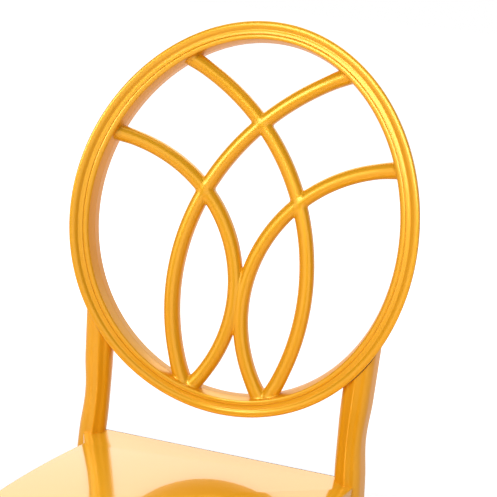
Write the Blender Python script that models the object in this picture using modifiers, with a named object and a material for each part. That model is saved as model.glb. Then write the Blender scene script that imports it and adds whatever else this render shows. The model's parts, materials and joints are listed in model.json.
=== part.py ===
"""Event chair with an oval lattice back, in gold moulded resin over steel cores.

The chair faces -Y, +X is to the right of someone who looks at its front, and +Z is up. The origin is on the
floor, under the middle of the chair's bounding box. Sizes are written in millimetres.

The back is one moulding: an egg-shaped ring with a moulded face that holds four interlaced arcs, bent round
the sitter and leaning back. Two rear legs run up past the seat and carry it. The seat is a ribbed shell with
a flat top, and the front legs are turned.
"""

import math

import bmesh
import bpy
from mathutils import Matrix, Vector

MM = 0.001
GAP = 0.3

# Seat
SEAT_HEIGHT = 450.0
SEAT_TOP_WALL = 4.0
SEAT_SKIRT = 38.0
SEAT_SKIRT_WALL = 4.5
SEAT_EDGE_ROUND = 1.2
SEAT_REAR = 12.0
SEAT_WAIST_HALF_WIDTH = 144.5
SEAT_WAIST_FRONT = 25.0
SEAT_FLARE = 13.0
SEAT_HALF_WIDTH = 200.0
SEAT_WIDEST_FRONT = 222.0
SEAT_DEPTH = 385.0
SEAT_WAIST_PULL = 7.0
SEAT_WAIST_SPLAY = 3.0
SEAT_SIDE_PULL = 88.0
SEAT_CORNER_PULL = 112.0
SEAT_FRONT_PULL = 150.0
SEAT_CURVE_STEPS = 9
RIB_WALL = 3.0
RIB_HEIGHT = 22.0
RIB_SPACING = 92.0

# Oval back
BACK_RAKE = 12.0
OVAL_HALF_WIDTH = 180.3
OVAL_HALF_HEIGHT = 211.0
OVAL_EGG = 0.023
OVAL_BEND_RADIUS = 363.0
OVAL_RISE = 262.3
OVAL_LEAD = 9.5
RING_FACE = 18.6
RING_DEPTH = 33.7
RING_DRAFT = 0.4
RIM_BEAD = 6.0
RIM_BEAD_HEIGHT = 2.2
RIM_BEAD_SHARE = 0.75
COVE_WIDTH = 7.0
COVE_DEPTH = 1.6
COVE_SHARE = 0.2
SHOULDER_DROP = 1.2
INNER_BEAD = 5.3
INNER_BEAD_HEIGHT = 1.7
INNER_BEAD_DROP = 0.4
REAR_ROUND = 2.5
RING_STEPS = 60
BEAD_STEPS = 4

# Lattice in the oval: where the arcs' centres lie, to the left of and below the oval's centre
BAR_WIDTH = 16.0
BAR_DEPTH = 18.3
BAR_CROWN = 6.5
BAR_STEP = 18.0
BAR_FLARE = 0.08
BAR_FLARE_LENGTH = 20.0
BAR_END_STEP = 0.5
LONG_ARC_RADIUS = 261.9
LONG_ARC_ASIDE = 189.4
LONG_ARC_BELOW = 74.6
SHORT_ARC_RADIUS = 165.2
SHORT_ARC_ASIDE = 169.7
SHORT_ARC_BELOW = 87.2

# Rear legs: the post's place above the seat, and how far the leg has spread from there at the seat and floor
POST_HALF_SPACING = 144.0
POST_BACK = 10.4
POST_TOE_IN = 16.0
POST_SIZE = 30.0
POST_ROUND = 9.0
POST_ROUND_STEPS = 3
POST_RIDGE = 2.3
POST_WAIST = 2.5
POST_WAIST_SHIFT = 0.8
POST_WAIST_HEIGHT = 50.0
POST_WAIST_REACH = 45.0
POST_FLARE_HEIGHT = 90.0
POST_FLARE_OUT = 3.9
POST_FLARE_BACK = 2.5
POST_OVERRUN = 50.0
REAR_FOOT_SIZE = 23.0
REAR_FOOT_OUT = 14.0
REAR_FOOT_BACK = 78.0
LEG_STEPS = 8
FLARE_STEPS = 5

# Front legs
FRONT_LEG_INSET = 42.0
FRONT_LEG_SETBACK = 60.0
FRONT_FOOT_SIZE = 23.0
FRONT_COLLAR_SIZE = 42.0
FRONT_COLLAR_HEIGHT = 7.0
FRONT_BEAD_SIZE = 39.0
FRONT_BEAD_HEIGHT = 9.0
FRONT_NECK_SIZE = 33.0
FRONT_NECK_HEIGHT = 5.0
SPIGOT_SIZE = 30.0
SPIGOT_HEIGHT = 29.0
SOCKET_WALL = 6.0
SOCKET_STEPS = 32
FRONT_LEG_SWELL = 1.5
TURNED_CHAMFER = 1.0
PROFILE_STEPS = 5
TURNING_STEPS = 20
SMALL_STEPS = 10

# Steel cores
REAR_CORE_SIZE = 9.0
REAR_CORE_IN_RING = 20.0
FRONT_CORE_SIZE = 10.0
CORE_TOP_COVER = 9.0
ROD_STEPS = 3

# Foot glides
GLIDE_SIZE = 22.0
GLIDE_HEIGHT = 4.0
GLIDE_STEM_SIZE = 12.0
GLIDE_STEM_HEIGHT = 15.0

# Bolts, plates and inserts
BOLT_SIZE = 6.0
BOLT_HEAD_SIZE = 10.0
BOLT_HEAD_HEIGHT = 6.0
BOLT_SOCKET_SIZE = 5.0
BOLT_SOCKET_DEPTH = 3.0
BOLT_SPACING = 14.0
BOLT_TIP_SHORT = 1.0
REAR_BOLT_INSET = 7.0
PLATE_WALL = 2.0
PLATE_WIDTH = 14.0
PLATE_MARGIN = 7.0
INSERT_SIZE = 10.0
INSERT_LENGTH = 6.5
INSERT_RECESS = 1.2
REAR_INSERT_RECESS = 2.8
REAR_BLOCK_WIDTH = 34.0
REAR_BLOCK_WALL = 12.0
FRONT_BLOCK_WIDTH = 26.0
FRONT_BLOCK_WALL = 9.0

# Grub screws that lock the oval on its cores, and their caps
GRUB_SIZE = 4.0
GRUB_HEAD_SIZE = 7.5
GRUB_HEAD_HEIGHT = 2.5
GRUB_WELL_SIZE = 9.0
GRUB_WELL_DEPTH = 8.5
GRUB_RISE = 15.0
CAP_HEIGHT = 2.0
CAP_RECESS = 2.5

# How far a cutter runs past the surface that it opens
CUT_OVERRUN = 5.0

# Angles in degrees: edges sharper than the first stay sharp, faces flatter than the second are joined
SHARP_ANGLE = 30.0
FLAT_ANGLE = 0.5

# How often a search halves its range, and how near two points are one, in metres
HALVING_STEPS = 30
WELD = 0.00001

GOLD_RESIN = (0.89, 0.42, 0.04, 1.0)
STEEL = (0.55, 0.56, 0.58, 1.0)
BRASS = (0.72, 0.55, 0.22, 1.0)
NYLON = (0.75, 0.72, 0.66, 1.0)

RAKE = math.radians(BACK_RAKE)
TOE = math.radians(POST_TOE_IN)
SKIRT_BOTTOM = SEAT_HEIGHT - SEAT_SKIRT


def oval_bend(x):
    """How far the bend brings the oval forward at x, square to the leaning plane."""
    return -x * x / (2 * OVAL_BEND_RADIUS)


def oval_point(x, rise):
    """Depth and height over the seat of the ring's front face, at x and a rise from the oval's centre."""
    depth = oval_bend(x) - OVAL_LEAD
    along = rise + OVAL_RISE
    return (math.cos(RAKE) * depth + math.sin(RAKE) * along,
            math.cos(RAKE) * along - math.sin(RAKE) * depth)


# The chair's own middle, from front edge to the back of the ring's top, is put over the origin
OVAL_TOP_BACK = oval_point(0, OVAL_HALF_HEIGHT)[0] + math.cos(RAKE) * RING_DEPTH
BACK_Y = (SEAT_DEPTH - SEAT_REAR - OVAL_TOP_BACK) / 2


def new_collection(name):
    collection = bpy.data.collections.new(name)
    bpy.context.scene.collection.children.link(collection)
    return collection


def new_material(name, colour, roughness, metallic):
    material = bpy.data.materials.new(name)
    material.use_nodes = True
    shader = material.node_tree.nodes["Principled BSDF"]
    shader.inputs["Base Color"].default_value = colour
    shader.inputs["Roughness"].default_value = roughness
    shader.inputs["Metallic"].default_value = metallic
    return material


class Workshop:
    """The two collections, and the finish that each new part takes."""

    def __init__(self):
        self.parts = new_collection("event_chair")
        self.cutters = new_collection("cutters")

    def part(self, name, mesh, look):
        colour, roughness, metallic = look
        obj = bpy.data.objects.new(name, mesh)
        mesh.materials.clear()
        mesh.materials.append(new_material(name + "_finish", colour, roughness, metallic))
        mesh.shade_smooth()
        mesh.set_sharp_from_angle(angle=math.radians(SHARP_ANGLE))
        self.parts.objects.link(obj)
        return obj

    def cutter(self, name, mesh):
        obj = bpy.data.objects.new(name, mesh)
        obj.hide_render = True
        obj.display_type = "WIRE"
        self.cutters.objects.link(obj)
        return obj


RESIN_LOOK = (GOLD_RESIN, 0.18, 0.35)
STEEL_LOOK = (STEEL, 0.35, 1.0)
BRASS_LOOK = (BRASS, 0.3, 1.0)
NYLON_LOOK = (NYLON, 0.5, 0.0)


def boolean(obj, other, operation):
    modifier = obj.modifiers.new(f"{operation.lower()}_{other.name}", "BOOLEAN")
    modifier.operation = operation
    modifier.solver = "EXACT"
    modifier.object = other


def evaluated_mesh(obj):
    """The object's mesh with its modifiers applied, as a new mesh."""
    bpy.context.view_layer.update()
    graph = bpy.context.evaluated_depsgraph_get()
    return bpy.data.meshes.new_from_object(obj.evaluated_get(graph))


def taken_mesh(obj):
    """The evaluated mesh of a helper object, which is then removed, with a curve's caps welded."""
    mesh = evaluated_mesh(obj)
    mesh.transform(obj.matrix_world)
    bpy.data.objects.remove(obj)
    bm = bmesh.new()
    bm.from_mesh(mesh)
    bmesh.ops.remove_doubles(bm, verts=bm.verts, dist=WELD)
    bmesh.ops.recalc_face_normals(bm, faces=bm.faces)
    bm.to_mesh(mesh)
    bm.free()
    return mesh


def simplified(mesh):
    """The mesh with its flat faces joined and its straight edges in one piece."""
    bm = bmesh.new()
    bm.from_mesh(mesh)
    bmesh.ops.dissolve_limit(bm, angle_limit=math.radians(FLAT_ANGLE), verts=bm.verts, edges=bm.edges)
    bm.to_mesh(mesh)
    bm.free()
    return mesh


def poly_curve(name, points, cyclic, dimensions):
    """A curve object through points in millimetres; a fourth value is the bevel's scale there."""
    curve = bpy.data.curves.new(name, "CURVE")
    curve.dimensions = dimensions
    spline = curve.splines.new("POLY")
    spline.points.add(len(points) - 1)
    for target, point in zip(spline.points, points):
        target.co = (point[0] * MM, point[1] * MM, point[2] * MM, 1.0)
        target.radius = point[3] if len(point) > 3 else 1.0
    spline.use_cyclic_u = cyclic
    obj = bpy.data.objects.new(name, curve)
    bpy.context.scene.collection.objects.link(obj)
    return obj


def moulding(name, path, profile, cyclic):
    """A mesh made by sweeping a closed profile along a flat path."""
    section = poly_curve(name + "_section", [(u, v, 0) for u, v in profile], True, "2D")
    section.data.fill_mode = "NONE"
    rail = poly_curve(name + "_rail", path, cyclic, "2D")
    rail.data.fill_mode = "NONE"
    rail.data.bevel_mode = "OBJECT"
    rail.data.bevel_object = section
    rail.data.use_fill_caps = not cyclic
    mesh = taken_mesh(rail)
    bpy.data.objects.remove(section)
    return mesh


def rod_mesh(name, points, size):
    """A round bar along a route in millimetres, with closed ends."""
    rod = poly_curve(name + "_route", points, False, "3D")
    rod.data.bevel_depth = size / 2 * MM
    rod.data.bevel_resolution = ROD_STEPS
    rod.data.use_fill_caps = True
    return taken_mesh(rod)


def turned_mesh(name, profile, steps):
    """A turned shape from (radius, height) points in millimetres, read from its top down its outer side."""
    mesh = bpy.data.meshes.new(name)
    points = [(radius * MM, 0, height * MM) for radius, height in profile]
    mesh.from_pydata(points, [(i, i + 1) for i in range(len(points) - 1)], [])
    obj = bpy.data.objects.new(name + "_profile", mesh)
    bpy.context.scene.collection.objects.link(obj)
    screw = obj.modifiers.new("turn", "SCREW")
    screw.axis = "Z"
    screw.steps = steps
    screw.render_steps = steps
    screw.use_merge_vertices = True
    screw.merge_threshold = WELD
    return taken_mesh(obj)


def cylinder_mesh(name, size, bottom, top, sides):
    bm = bmesh.new()
    bmesh.ops.create_cone(bm, cap_ends=True, segments=sides, radius1=size / 2 * MM, radius2=size / 2 * MM,
                          depth=(top - bottom) * MM)
    bmesh.ops.translate(bm, verts=bm.verts, vec=(0, 0, (top + bottom) / 2 * MM))
    mesh = bpy.data.meshes.new(name)
    bm.to_mesh(mesh)
    bm.free()
    return mesh


def box_mesh(name, low, high):
    """A box between two corners in millimetres."""
    bm = bmesh.new()
    bmesh.ops.create_cube(bm, size=1.0)
    size = Vector(high) - Vector(low)
    middle = (Vector(high) + Vector(low)) / 2
    bmesh.ops.scale(bm, verts=bm.verts, vec=size * MM)
    bmesh.ops.translate(bm, verts=bm.verts, vec=middle * MM)
    mesh = bpy.data.meshes.new(name)
    bm.to_mesh(mesh)
    bm.free()
    return mesh


def at(x, y, z):
    return Matrix.Translation(Vector((x, y, z)) * MM)


def eased(t):
    return t * t * (3 - 2 * t)


def arc_points(middle, half_width, base, rise, first=0.0, last=1.0):
    """Points over a bead, or along a cove where rise is negative, between two shares of its way from +u to -u."""
    points = []
    for i in range(BEAD_STEPS + 1):
        turn = math.pi * (first + (last - first) * i / BEAD_STEPS)
        points.append((middle + half_width * math.cos(turn), base - rise * math.sin(turn)))
    return points


def oval_matrix():
    """Places the oval's flat drawing: x across, y up the leaning plane, z out of its front face."""
    back, up = oval_point(0, 0)
    place = Matrix.Translation(Vector((0, BACK_Y + back, SEAT_HEIGHT + up)) * MM)
    return place @ Matrix.Rotation(math.pi / 2 - RAKE, 4, "X")


def egg(turn, inset):
    """A point of the oval's outline, drawn in by inset."""
    rise = (OVAL_HALF_HEIGHT - inset) * math.sin(turn)
    across = (OVAL_HALF_WIDTH - inset) * math.cos(turn)
    return across * (1 - OVAL_EGG * rise / OVAL_HALF_HEIGHT), rise


def ring_profile():
    """The ring's section: u out from the middle of its face, v towards the front from its front plane.

    The rim's bead sweeps into the cove, and a small step parts the cove from the inner bead.
    """
    half = RING_FACE / 2
    depth = RING_DEPTH
    cove_middle = (INNER_BEAD - RIM_BEAD) / 2
    inner_base = INNER_BEAD_HEIGHT + INNER_BEAD_DROP
    points = arc_points(half - RIM_BEAD / 2, RIM_BEAD / 2, RIM_BEAD_HEIGHT, RIM_BEAD_HEIGHT,
                        last=RIM_BEAD_SHARE)
    points += arc_points(cove_middle, COVE_WIDTH / 2, SHOULDER_DROP, -COVE_DEPTH, first=COVE_SHARE)
    points += arc_points(INNER_BEAD / 2 - half, INNER_BEAD / 2, inner_base, INNER_BEAD_HEIGHT)
    points.append((-half - RING_DRAFT, depth / 2))
    cut = REAR_ROUND * (1 - math.cos(math.pi / 4))
    for side in (-1, 1):
        corner = [(half, depth - REAR_ROUND), (half - cut, depth - cut), (half - REAR_ROUND, depth)]
        corner = [(side * u, v) for u, v in corner]
        points += corner if side < 0 else corner[::-1]
    points.append((half + RING_DRAFT, depth / 2))
    return [(u, -v) for u, v in points]


def bar_profile():
    crown = arc_points(0, BAR_WIDTH / 2, BAR_CROWN - BAR_DEPTH / 2, BAR_CROWN)
    return [(u, -v) for u, v in crown] + [(-u, v) for u, v in crown]


def inside_ring(x, rise):
    """Whether a point lies inside the middle line of the ring."""
    inset = RING_FACE / 2
    tall = rise / (OVAL_HALF_HEIGHT - inset)
    wide = x / (OVAL_HALF_WIDTH - inset) / (1 - OVAL_EGG * rise / OVAL_HALF_HEIGHT)
    return tall * tall + wide * wide < 1


def lattice_path(aside, below, radius):
    """A bar's middle line from ring to ring, in the oval's drawing, with its flare at each end."""
    def point(turn):
        return radius * math.cos(turn) - aside, radius * math.sin(turn) - below

    ends = []
    for way in (1, -1):
        turn = 0.0
        while inside_ring(*point(turn)):
            turn += way * BAR_END_STEP / radius
        ends.append(turn)
    count = math.ceil(radius * (ends[0] - ends[1]) / BAR_STEP)
    depth = -RING_DEPTH / 2
    path = []
    for i in range(count + 1):
        turn = ends[0] + (ends[1] - ends[0]) * i / count
        run = radius * min(ends[0] - turn, turn - ends[1]) - RING_FACE / 2
        flare = eased(max(0.0, 1 - max(run, 0) / BAR_FLARE_LENGTH))
        path.append((*point(turn), depth, 1 + BAR_FLARE * flare))
    return path


def mirrored(path):
    return [(-point[0], *point[1:]) for point in path]


def bend(mesh):
    """Bends the oval's flat drawing towards the front at its sides."""
    bm = bmesh.new()
    bm.from_mesh(mesh)
    bmesh.ops.triangulate(bm, faces=bm.faces)
    for vertex in bm.verts:
        vertex.co.z -= oval_bend(vertex.co.x / MM) * MM
    bm.to_mesh(mesh)
    bm.free()


def make_oval_back(shop, core_bores, grub_wells):
    """The ring and its lattice as one moulding, bored for the cores and for the screws that lock them."""
    ring_path = []
    for i in range(RING_STEPS):
        x, rise = egg(2 * math.pi * i / RING_STEPS, RING_FACE / 2)
        ring_path.append((x, rise, 0))
    flat = bpy.data.objects.new("flat_ring", moulding("ring", ring_path, ring_profile(), True))
    shop.cutters.objects.link(flat)
    long_bar = lattice_path(LONG_ARC_ASIDE, LONG_ARC_BELOW, LONG_ARC_RADIUS)
    short_bar = lattice_path(SHORT_ARC_ASIDE, SHORT_ARC_BELOW, SHORT_ARC_RADIUS)
    bars = [long_bar, mirrored(long_bar), short_bar, mirrored(short_bar)]
    helpers = []
    for number, path in enumerate(bars):
        bar = shop.cutter(f"lattice_bar_{number}", moulding(f"bar_{number}", path, bar_profile(), False))
        boolean(flat, bar, "UNION")
        helpers.append(bar)
    mesh = evaluated_mesh(flat)
    for helper in helpers + [flat]:
        bpy.data.objects.remove(helper)
    bend(mesh)
    oval = shop.part("oval_back", mesh, RESIN_LOOK)
    oval.matrix_world = oval_matrix()
    for cutter in core_bores + grub_wells:
        boolean(oval, cutter, "DIFFERENCE")
    return oval


def make_oval_plug(shop):
    """The space inside the ring's outline, with clearance, which shapes the tops of the rear legs."""
    grown = -(RING_DRAFT + GAP)
    outline = [(*egg(2 * math.pi * i / RING_STEPS, grown), 0) for i in range(RING_STEPS)]
    disc = poly_curve("oval_plug_outline", outline, True, "2D")
    disc.data.fill_mode = "BOTH"
    disc.data.extrude = RING_DEPTH * 2 * MM
    mesh = taken_mesh(disc)
    bm = bmesh.new()
    bm.from_mesh(mesh)
    strips = math.ceil(OVAL_HALF_WIDTH / BAR_STEP)
    for i in range(1 - strips, strips):
        cut_at = Vector((i * OVAL_HALF_WIDTH / strips, 0, 0)) * MM
        geometry = bm.verts[:] + bm.edges[:] + bm.faces[:]
        bmesh.ops.bisect_plane(bm, geom=geometry, plane_co=cut_at, plane_no=(1, 0, 0))
    bm.to_mesh(mesh)
    bm.free()
    bend(mesh)
    plug = shop.cutter("oval_plug", mesh)
    plug.matrix_world = oval_matrix()
    return plug


def leg_offset(height):
    """How far out and back the leg has spread at a height over the seat, in the post's own directions."""
    if height > 0:
        flare = max(0.0, 1 - height / POST_FLARE_HEIGHT) ** 2
        return POST_FLARE_OUT * flare, POST_FLARE_BACK * flare
    down = -height / SEAT_HEIGHT
    spread = []
    for at_seat, at_floor in ((POST_FLARE_OUT, REAR_FOOT_OUT), (POST_FLARE_BACK, REAR_FOOT_BACK)):
        straight = 2 * at_seat / POST_FLARE_HEIGHT * SEAT_HEIGHT
        spread.append(at_seat + straight * down + (at_floor - at_seat - straight) * down ** 2)
    return tuple(spread)


def post_waist(height):
    """How much of the post's waist is taken at a height over the seat, from 0 to 1."""
    off = min(1.0, abs(height - POST_WAIST_HEIGHT) / POST_WAIST_REACH)
    return (1 - off * off) ** 2


def leg_size(height):
    taper = (REAR_FOOT_SIZE - POST_SIZE) * max(0.0, -height / SEAT_HEIGHT)
    return POST_SIZE + taper - POST_WAIST * post_waist(height)


def height_on_post(rise):
    """Height over the seat at which a level of the oval's plane crosses the post's middle line."""
    return (OVAL_RISE + rise) / math.cos(RAKE) - math.tan(RAKE) * POST_BACK


def ring_rise_at_post():
    """The rise at which the ring's outline crosses the post's middle line, below the oval's centre."""
    low, high = -math.pi / 2, 0.0
    for _ in range(HALVING_STEPS):
        middle = (low + high) / 2
        if egg(middle, 0)[0] < POST_HALF_SPACING:
            low = middle
        else:
            high = middle
    return egg(low, 0)[1]


def leg_heights():
    """The leg's stations over the seat, from the foot to where the ring cuts the post."""
    foot = GLIDE_HEIGHT + GAP - SEAT_HEIGHT
    below = [foot * (1 - i / LEG_STEPS) for i in range(LEG_STEPS)]
    above = [POST_FLARE_HEIGHT * i / FLARE_STEPS for i in range(FLARE_STEPS + 1)]
    return below + above + [height_on_post(ring_rise_at_post()) + POST_OVERRUN]


def leg_station(height, clearance):
    out, back = leg_offset(height)
    out -= POST_WAIST_SHIFT * post_waist(height)
    scale = (leg_size(height) + 2 * clearance) / POST_SIZE
    return Matrix.Translation(Vector((out, back, height)) * MM) @ Matrix.Diagonal((scale, scale, 1, 1))


def leg_mesh(name, clearance):
    """The rear leg as a loft of rounded squares with a ridge down their front, grown by a clearance."""
    heights = leg_heights()
    bm = bmesh.new()
    bmesh.ops.create_grid(bm, x_segments=1, y_segments=1, size=POST_SIZE / 2 * MM)
    bmesh.ops.bevel(bm, geom=bm.verts[:], offset=POST_ROUND * MM, segments=POST_ROUND_STEPS, profile=0.5,
                    affect="VERTICES", material=-1)
    front = min(bm.edges, key=lambda edge: edge.verts[0].co.y + edge.verts[1].co.y)
    bmesh.ops.subdivide_edges(bm, edges=[front], cuts=1)
    ridge = min(bm.verts, key=lambda vertex: vertex.co.y + abs(vertex.co.x))
    ridge.co.y -= POST_RIDGE * MM
    bmesh.ops.transform(bm, matrix=leg_station(heights[0], clearance), verts=bm.verts)
    face = bm.faces[:][0]
    for low, high in zip(heights, heights[1:]):
        left = face
        made = bmesh.ops.extrude_face_region(bm, geom=[left])["geom"]
        face = [item for item in made if isinstance(item, bmesh.types.BMFace)][0]
        if low > heights[0]:
            bmesh.ops.delete(bm, geom=[left], context="FACES_ONLY")
        step = leg_station(high, clearance) @ leg_station(low, clearance).inverted()
        bmesh.ops.transform(bm, matrix=step, verts=face.verts)
    bmesh.ops.recalc_face_normals(bm, faces=bm.faces)
    mesh = bpy.data.meshes.new(name)
    bm.to_mesh(mesh)
    bm.free()
    return mesh


def handed(mesh, side):
    """The mesh as it is for side 1, or mirrored across its own x for side -1."""
    if side < 0:
        mesh.transform(Matrix.Scale(-1, 4, (1, 0, 0)))
        mesh.flip_normals()
    return mesh


def post_place(side):
    """The post's own frame: x outwards before handed() mirrors it, y back, z up from the seat's top."""
    place = Matrix.Translation(Vector((side * POST_HALF_SPACING, BACK_Y + POST_BACK, SEAT_HEIGHT)) * MM)
    return place @ Matrix.Rotation(-side * TOE, 4, "Z")


def front_leg_place(side):
    front = BACK_Y + SEAT_REAR - SEAT_DEPTH
    return at(side * (SEAT_HALF_WIDTH - FRONT_LEG_INSET), front + FRONT_LEG_SETBACK, 0)


def core_route():
    """The rear core's middle line in the post's own frame, from over the glide's stem into the ring."""
    low = GLIDE_HEIGHT + GLIDE_STEM_HEIGHT + 2 * GAP - SEAT_HEIGHT
    top = height_on_post(ring_rise_at_post()) + REAR_CORE_IN_RING
    heights = [low] + [height for height in leg_heights() if low < height < top] + [top]
    return [(*leg_offset(height), height) for height in heights]


def core_bore_route():
    """The core's route with its clearance over the top and a run out through the foot."""
    route = core_route()
    over = (route[-1][0], route[-1][1], route[-1][2] + GAP)
    under = (*leg_offset(-SEAT_HEIGHT), -SEAT_HEIGHT)
    return [under] + route[:-1] + [over]


def screw_mesh(name, size, head_size, head_height, length, recess_size, recess_depth):
    """A round-headed screw with a round recess, its head's underside at height 0 and its tip below."""
    profile = [(0, head_height - recess_depth), (recess_size / 2, head_height - recess_depth),
               (recess_size / 2, head_height), (head_size / 2, head_height), (head_size / 2, 0),
               (size / 2, 0), (size / 2, -length), (0, -length)]
    return turned_mesh(name, profile, SMALL_STEPS)


def insert_mesh():
    """A threaded insert as a sleeve from height 0 down."""
    bore = BOLT_SIZE / 2 + GAP
    outer = INSERT_SIZE / 2
    bm = bmesh.new()
    bmesh.ops.create_circle(bm, cap_ends=False, segments=SMALL_STEPS, radius=outer * MM)
    rim = bm.edges[:]
    inner = bmesh.ops.create_circle(bm, cap_ends=False, segments=SMALL_STEPS, radius=bore * MM)["verts"]
    hole = list({edge for vertex in inner for edge in vertex.link_edges})
    bmesh.ops.bridge_loops(bm, edges=rim + hole)
    made = bmesh.ops.extrude_face_region(bm, geom=bm.faces[:])["geom"]
    moved = [item for item in made if isinstance(item, bmesh.types.BMVert)]
    bmesh.ops.translate(bm, verts=moved, vec=(0, 0, -INSERT_LENGTH * MM))
    bmesh.ops.recalc_face_normals(bm, faces=bm.faces)
    mesh = bpy.data.meshes.new("insert")
    bm.to_mesh(mesh)
    bm.free()
    return mesh


def bolt_heights():
    """The two bolts' heights over the seat's top, one over the other about the middle of the spigot."""
    middle = SPIGOT_HEIGHT / 2 - SEAT_SKIRT
    return middle + BOLT_SPACING / 2, middle - BOLT_SPACING / 2


def rear_joint():
    """In the post's own frame: where the seat's block starts in front of the post, at the skirt's middle."""
    middle = -(SEAT_TOP_WALL + SEAT_SKIRT) / 2
    return leg_offset(middle)[1] - leg_size(middle) / 2 - GAP - REAR_BLOCK_WALL


def leg_front(height):
    return leg_offset(height)[1] - leg_size(height) / 2


def bolt_turns():
    """Turns a screw's head, which points up, to the front of a post and to the inner side of a front leg."""
    return Matrix.Rotation(math.pi / 2, 4, "X"), Matrix.Rotation(-math.pi / 2, 4, "Y")


def inner_side(side):
    """Turns a front leg's inner side, which is its -x side, towards the chair's middle."""
    return Matrix.Rotation(0 if side > 0 else math.pi, 4, "Z")


def rear_bolt_axes(side):
    """Frames on the post's front face, z towards the front, one for each bolt."""
    turn = bolt_turns()[0]
    for height in bolt_heights():
        out = side * (leg_offset(height)[0] - REAR_BOLT_INSET)
        yield post_place(side) @ at(out, leg_front(height), height) @ turn, leg_front(height) - rear_joint()


def front_bolt_axes(side):
    """Frames on the spigot's inner side, z towards the chair's middle, one for each bolt."""
    turn = bolt_turns()[1]
    reach = GAP + FRONT_BLOCK_WALL
    for height in bolt_heights():
        place = front_leg_place(side) @ inner_side(side) @ at(-SPIGOT_SIZE / 2, 0, SEAT_HEIGHT + height)
        yield place @ turn, reach


def seat_outline(name):
    """The seat seen from above, as a closed curve: straight rear edge, waist, swell and round front."""
    side = SEAT_WAIST_HALF_WIDTH
    swell = SEAT_HALF_WIDTH
    waist_y = -SEAT_WAIST_FRONT
    swell_y = -SEAT_WIDEST_FRONT
    front_y = SEAT_REAR - SEAT_DEPTH
    half = [
        ((side + SEAT_FLARE, SEAT_REAR), (side + SEAT_FLARE, SEAT_REAR), (side + SEAT_FLARE, 0)),
        ((side, waist_y), (side + SEAT_WAIST_SPLAY, waist_y + SEAT_WAIST_PULL),
         (side + SEAT_WAIST_SPLAY, waist_y - SEAT_WAIST_PULL)),
        ((swell, swell_y), (swell, swell_y + SEAT_SIDE_PULL), (swell, swell_y - SEAT_CORNER_PULL)),
        ((0, front_y), (SEAT_FRONT_PULL, front_y), (-SEAT_FRONT_PULL, front_y)),
    ]
    other = [((-x, y), (-c, d), (-a, b)) for (x, y), (a, b), (c, d) in half[-2::-1]]
    points = half + other
    curve = bpy.data.curves.new(name, "CURVE")
    curve.dimensions = "2D"
    curve.fill_mode = "BOTH"
    curve.resolution_u = SEAT_CURVE_STEPS
    spline = curve.splines.new("BEZIER")
    spline.bezier_points.add(len(points) - 1)
    for target, (middle, before, after) in zip(spline.bezier_points, points):
        target.handle_left_type = "FREE"
        target.handle_right_type = "FREE"
        target.co = (middle[0] * MM, middle[1] * MM, 0)
        target.handle_left = (before[0] * MM, before[1] * MM, 0)
        target.handle_right = (after[0] * MM, after[1] * MM, 0)
    last, first = spline.bezier_points[-1], spline.bezier_points[0]
    last.handle_right = last.co
    first.handle_left = first.co
    spline.use_cyclic_u = True
    obj = bpy.data.objects.new(name, curve)
    bpy.context.scene.collection.objects.link(obj)
    return obj


def seat_slab(name, inset, bottom, top):
    """The seat's outline, drawn in by inset, as a slab between two heights."""
    obj = seat_outline(name + "_outline")
    obj.data.offset = -inset * MM
    obj.data.extrude = (top - bottom) / 2 * MM
    obj.location = Vector((0, BACK_Y, (top + bottom) / 2)) * MM
    bpy.context.view_layer.update()
    return simplified(taken_mesh(obj))


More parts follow.
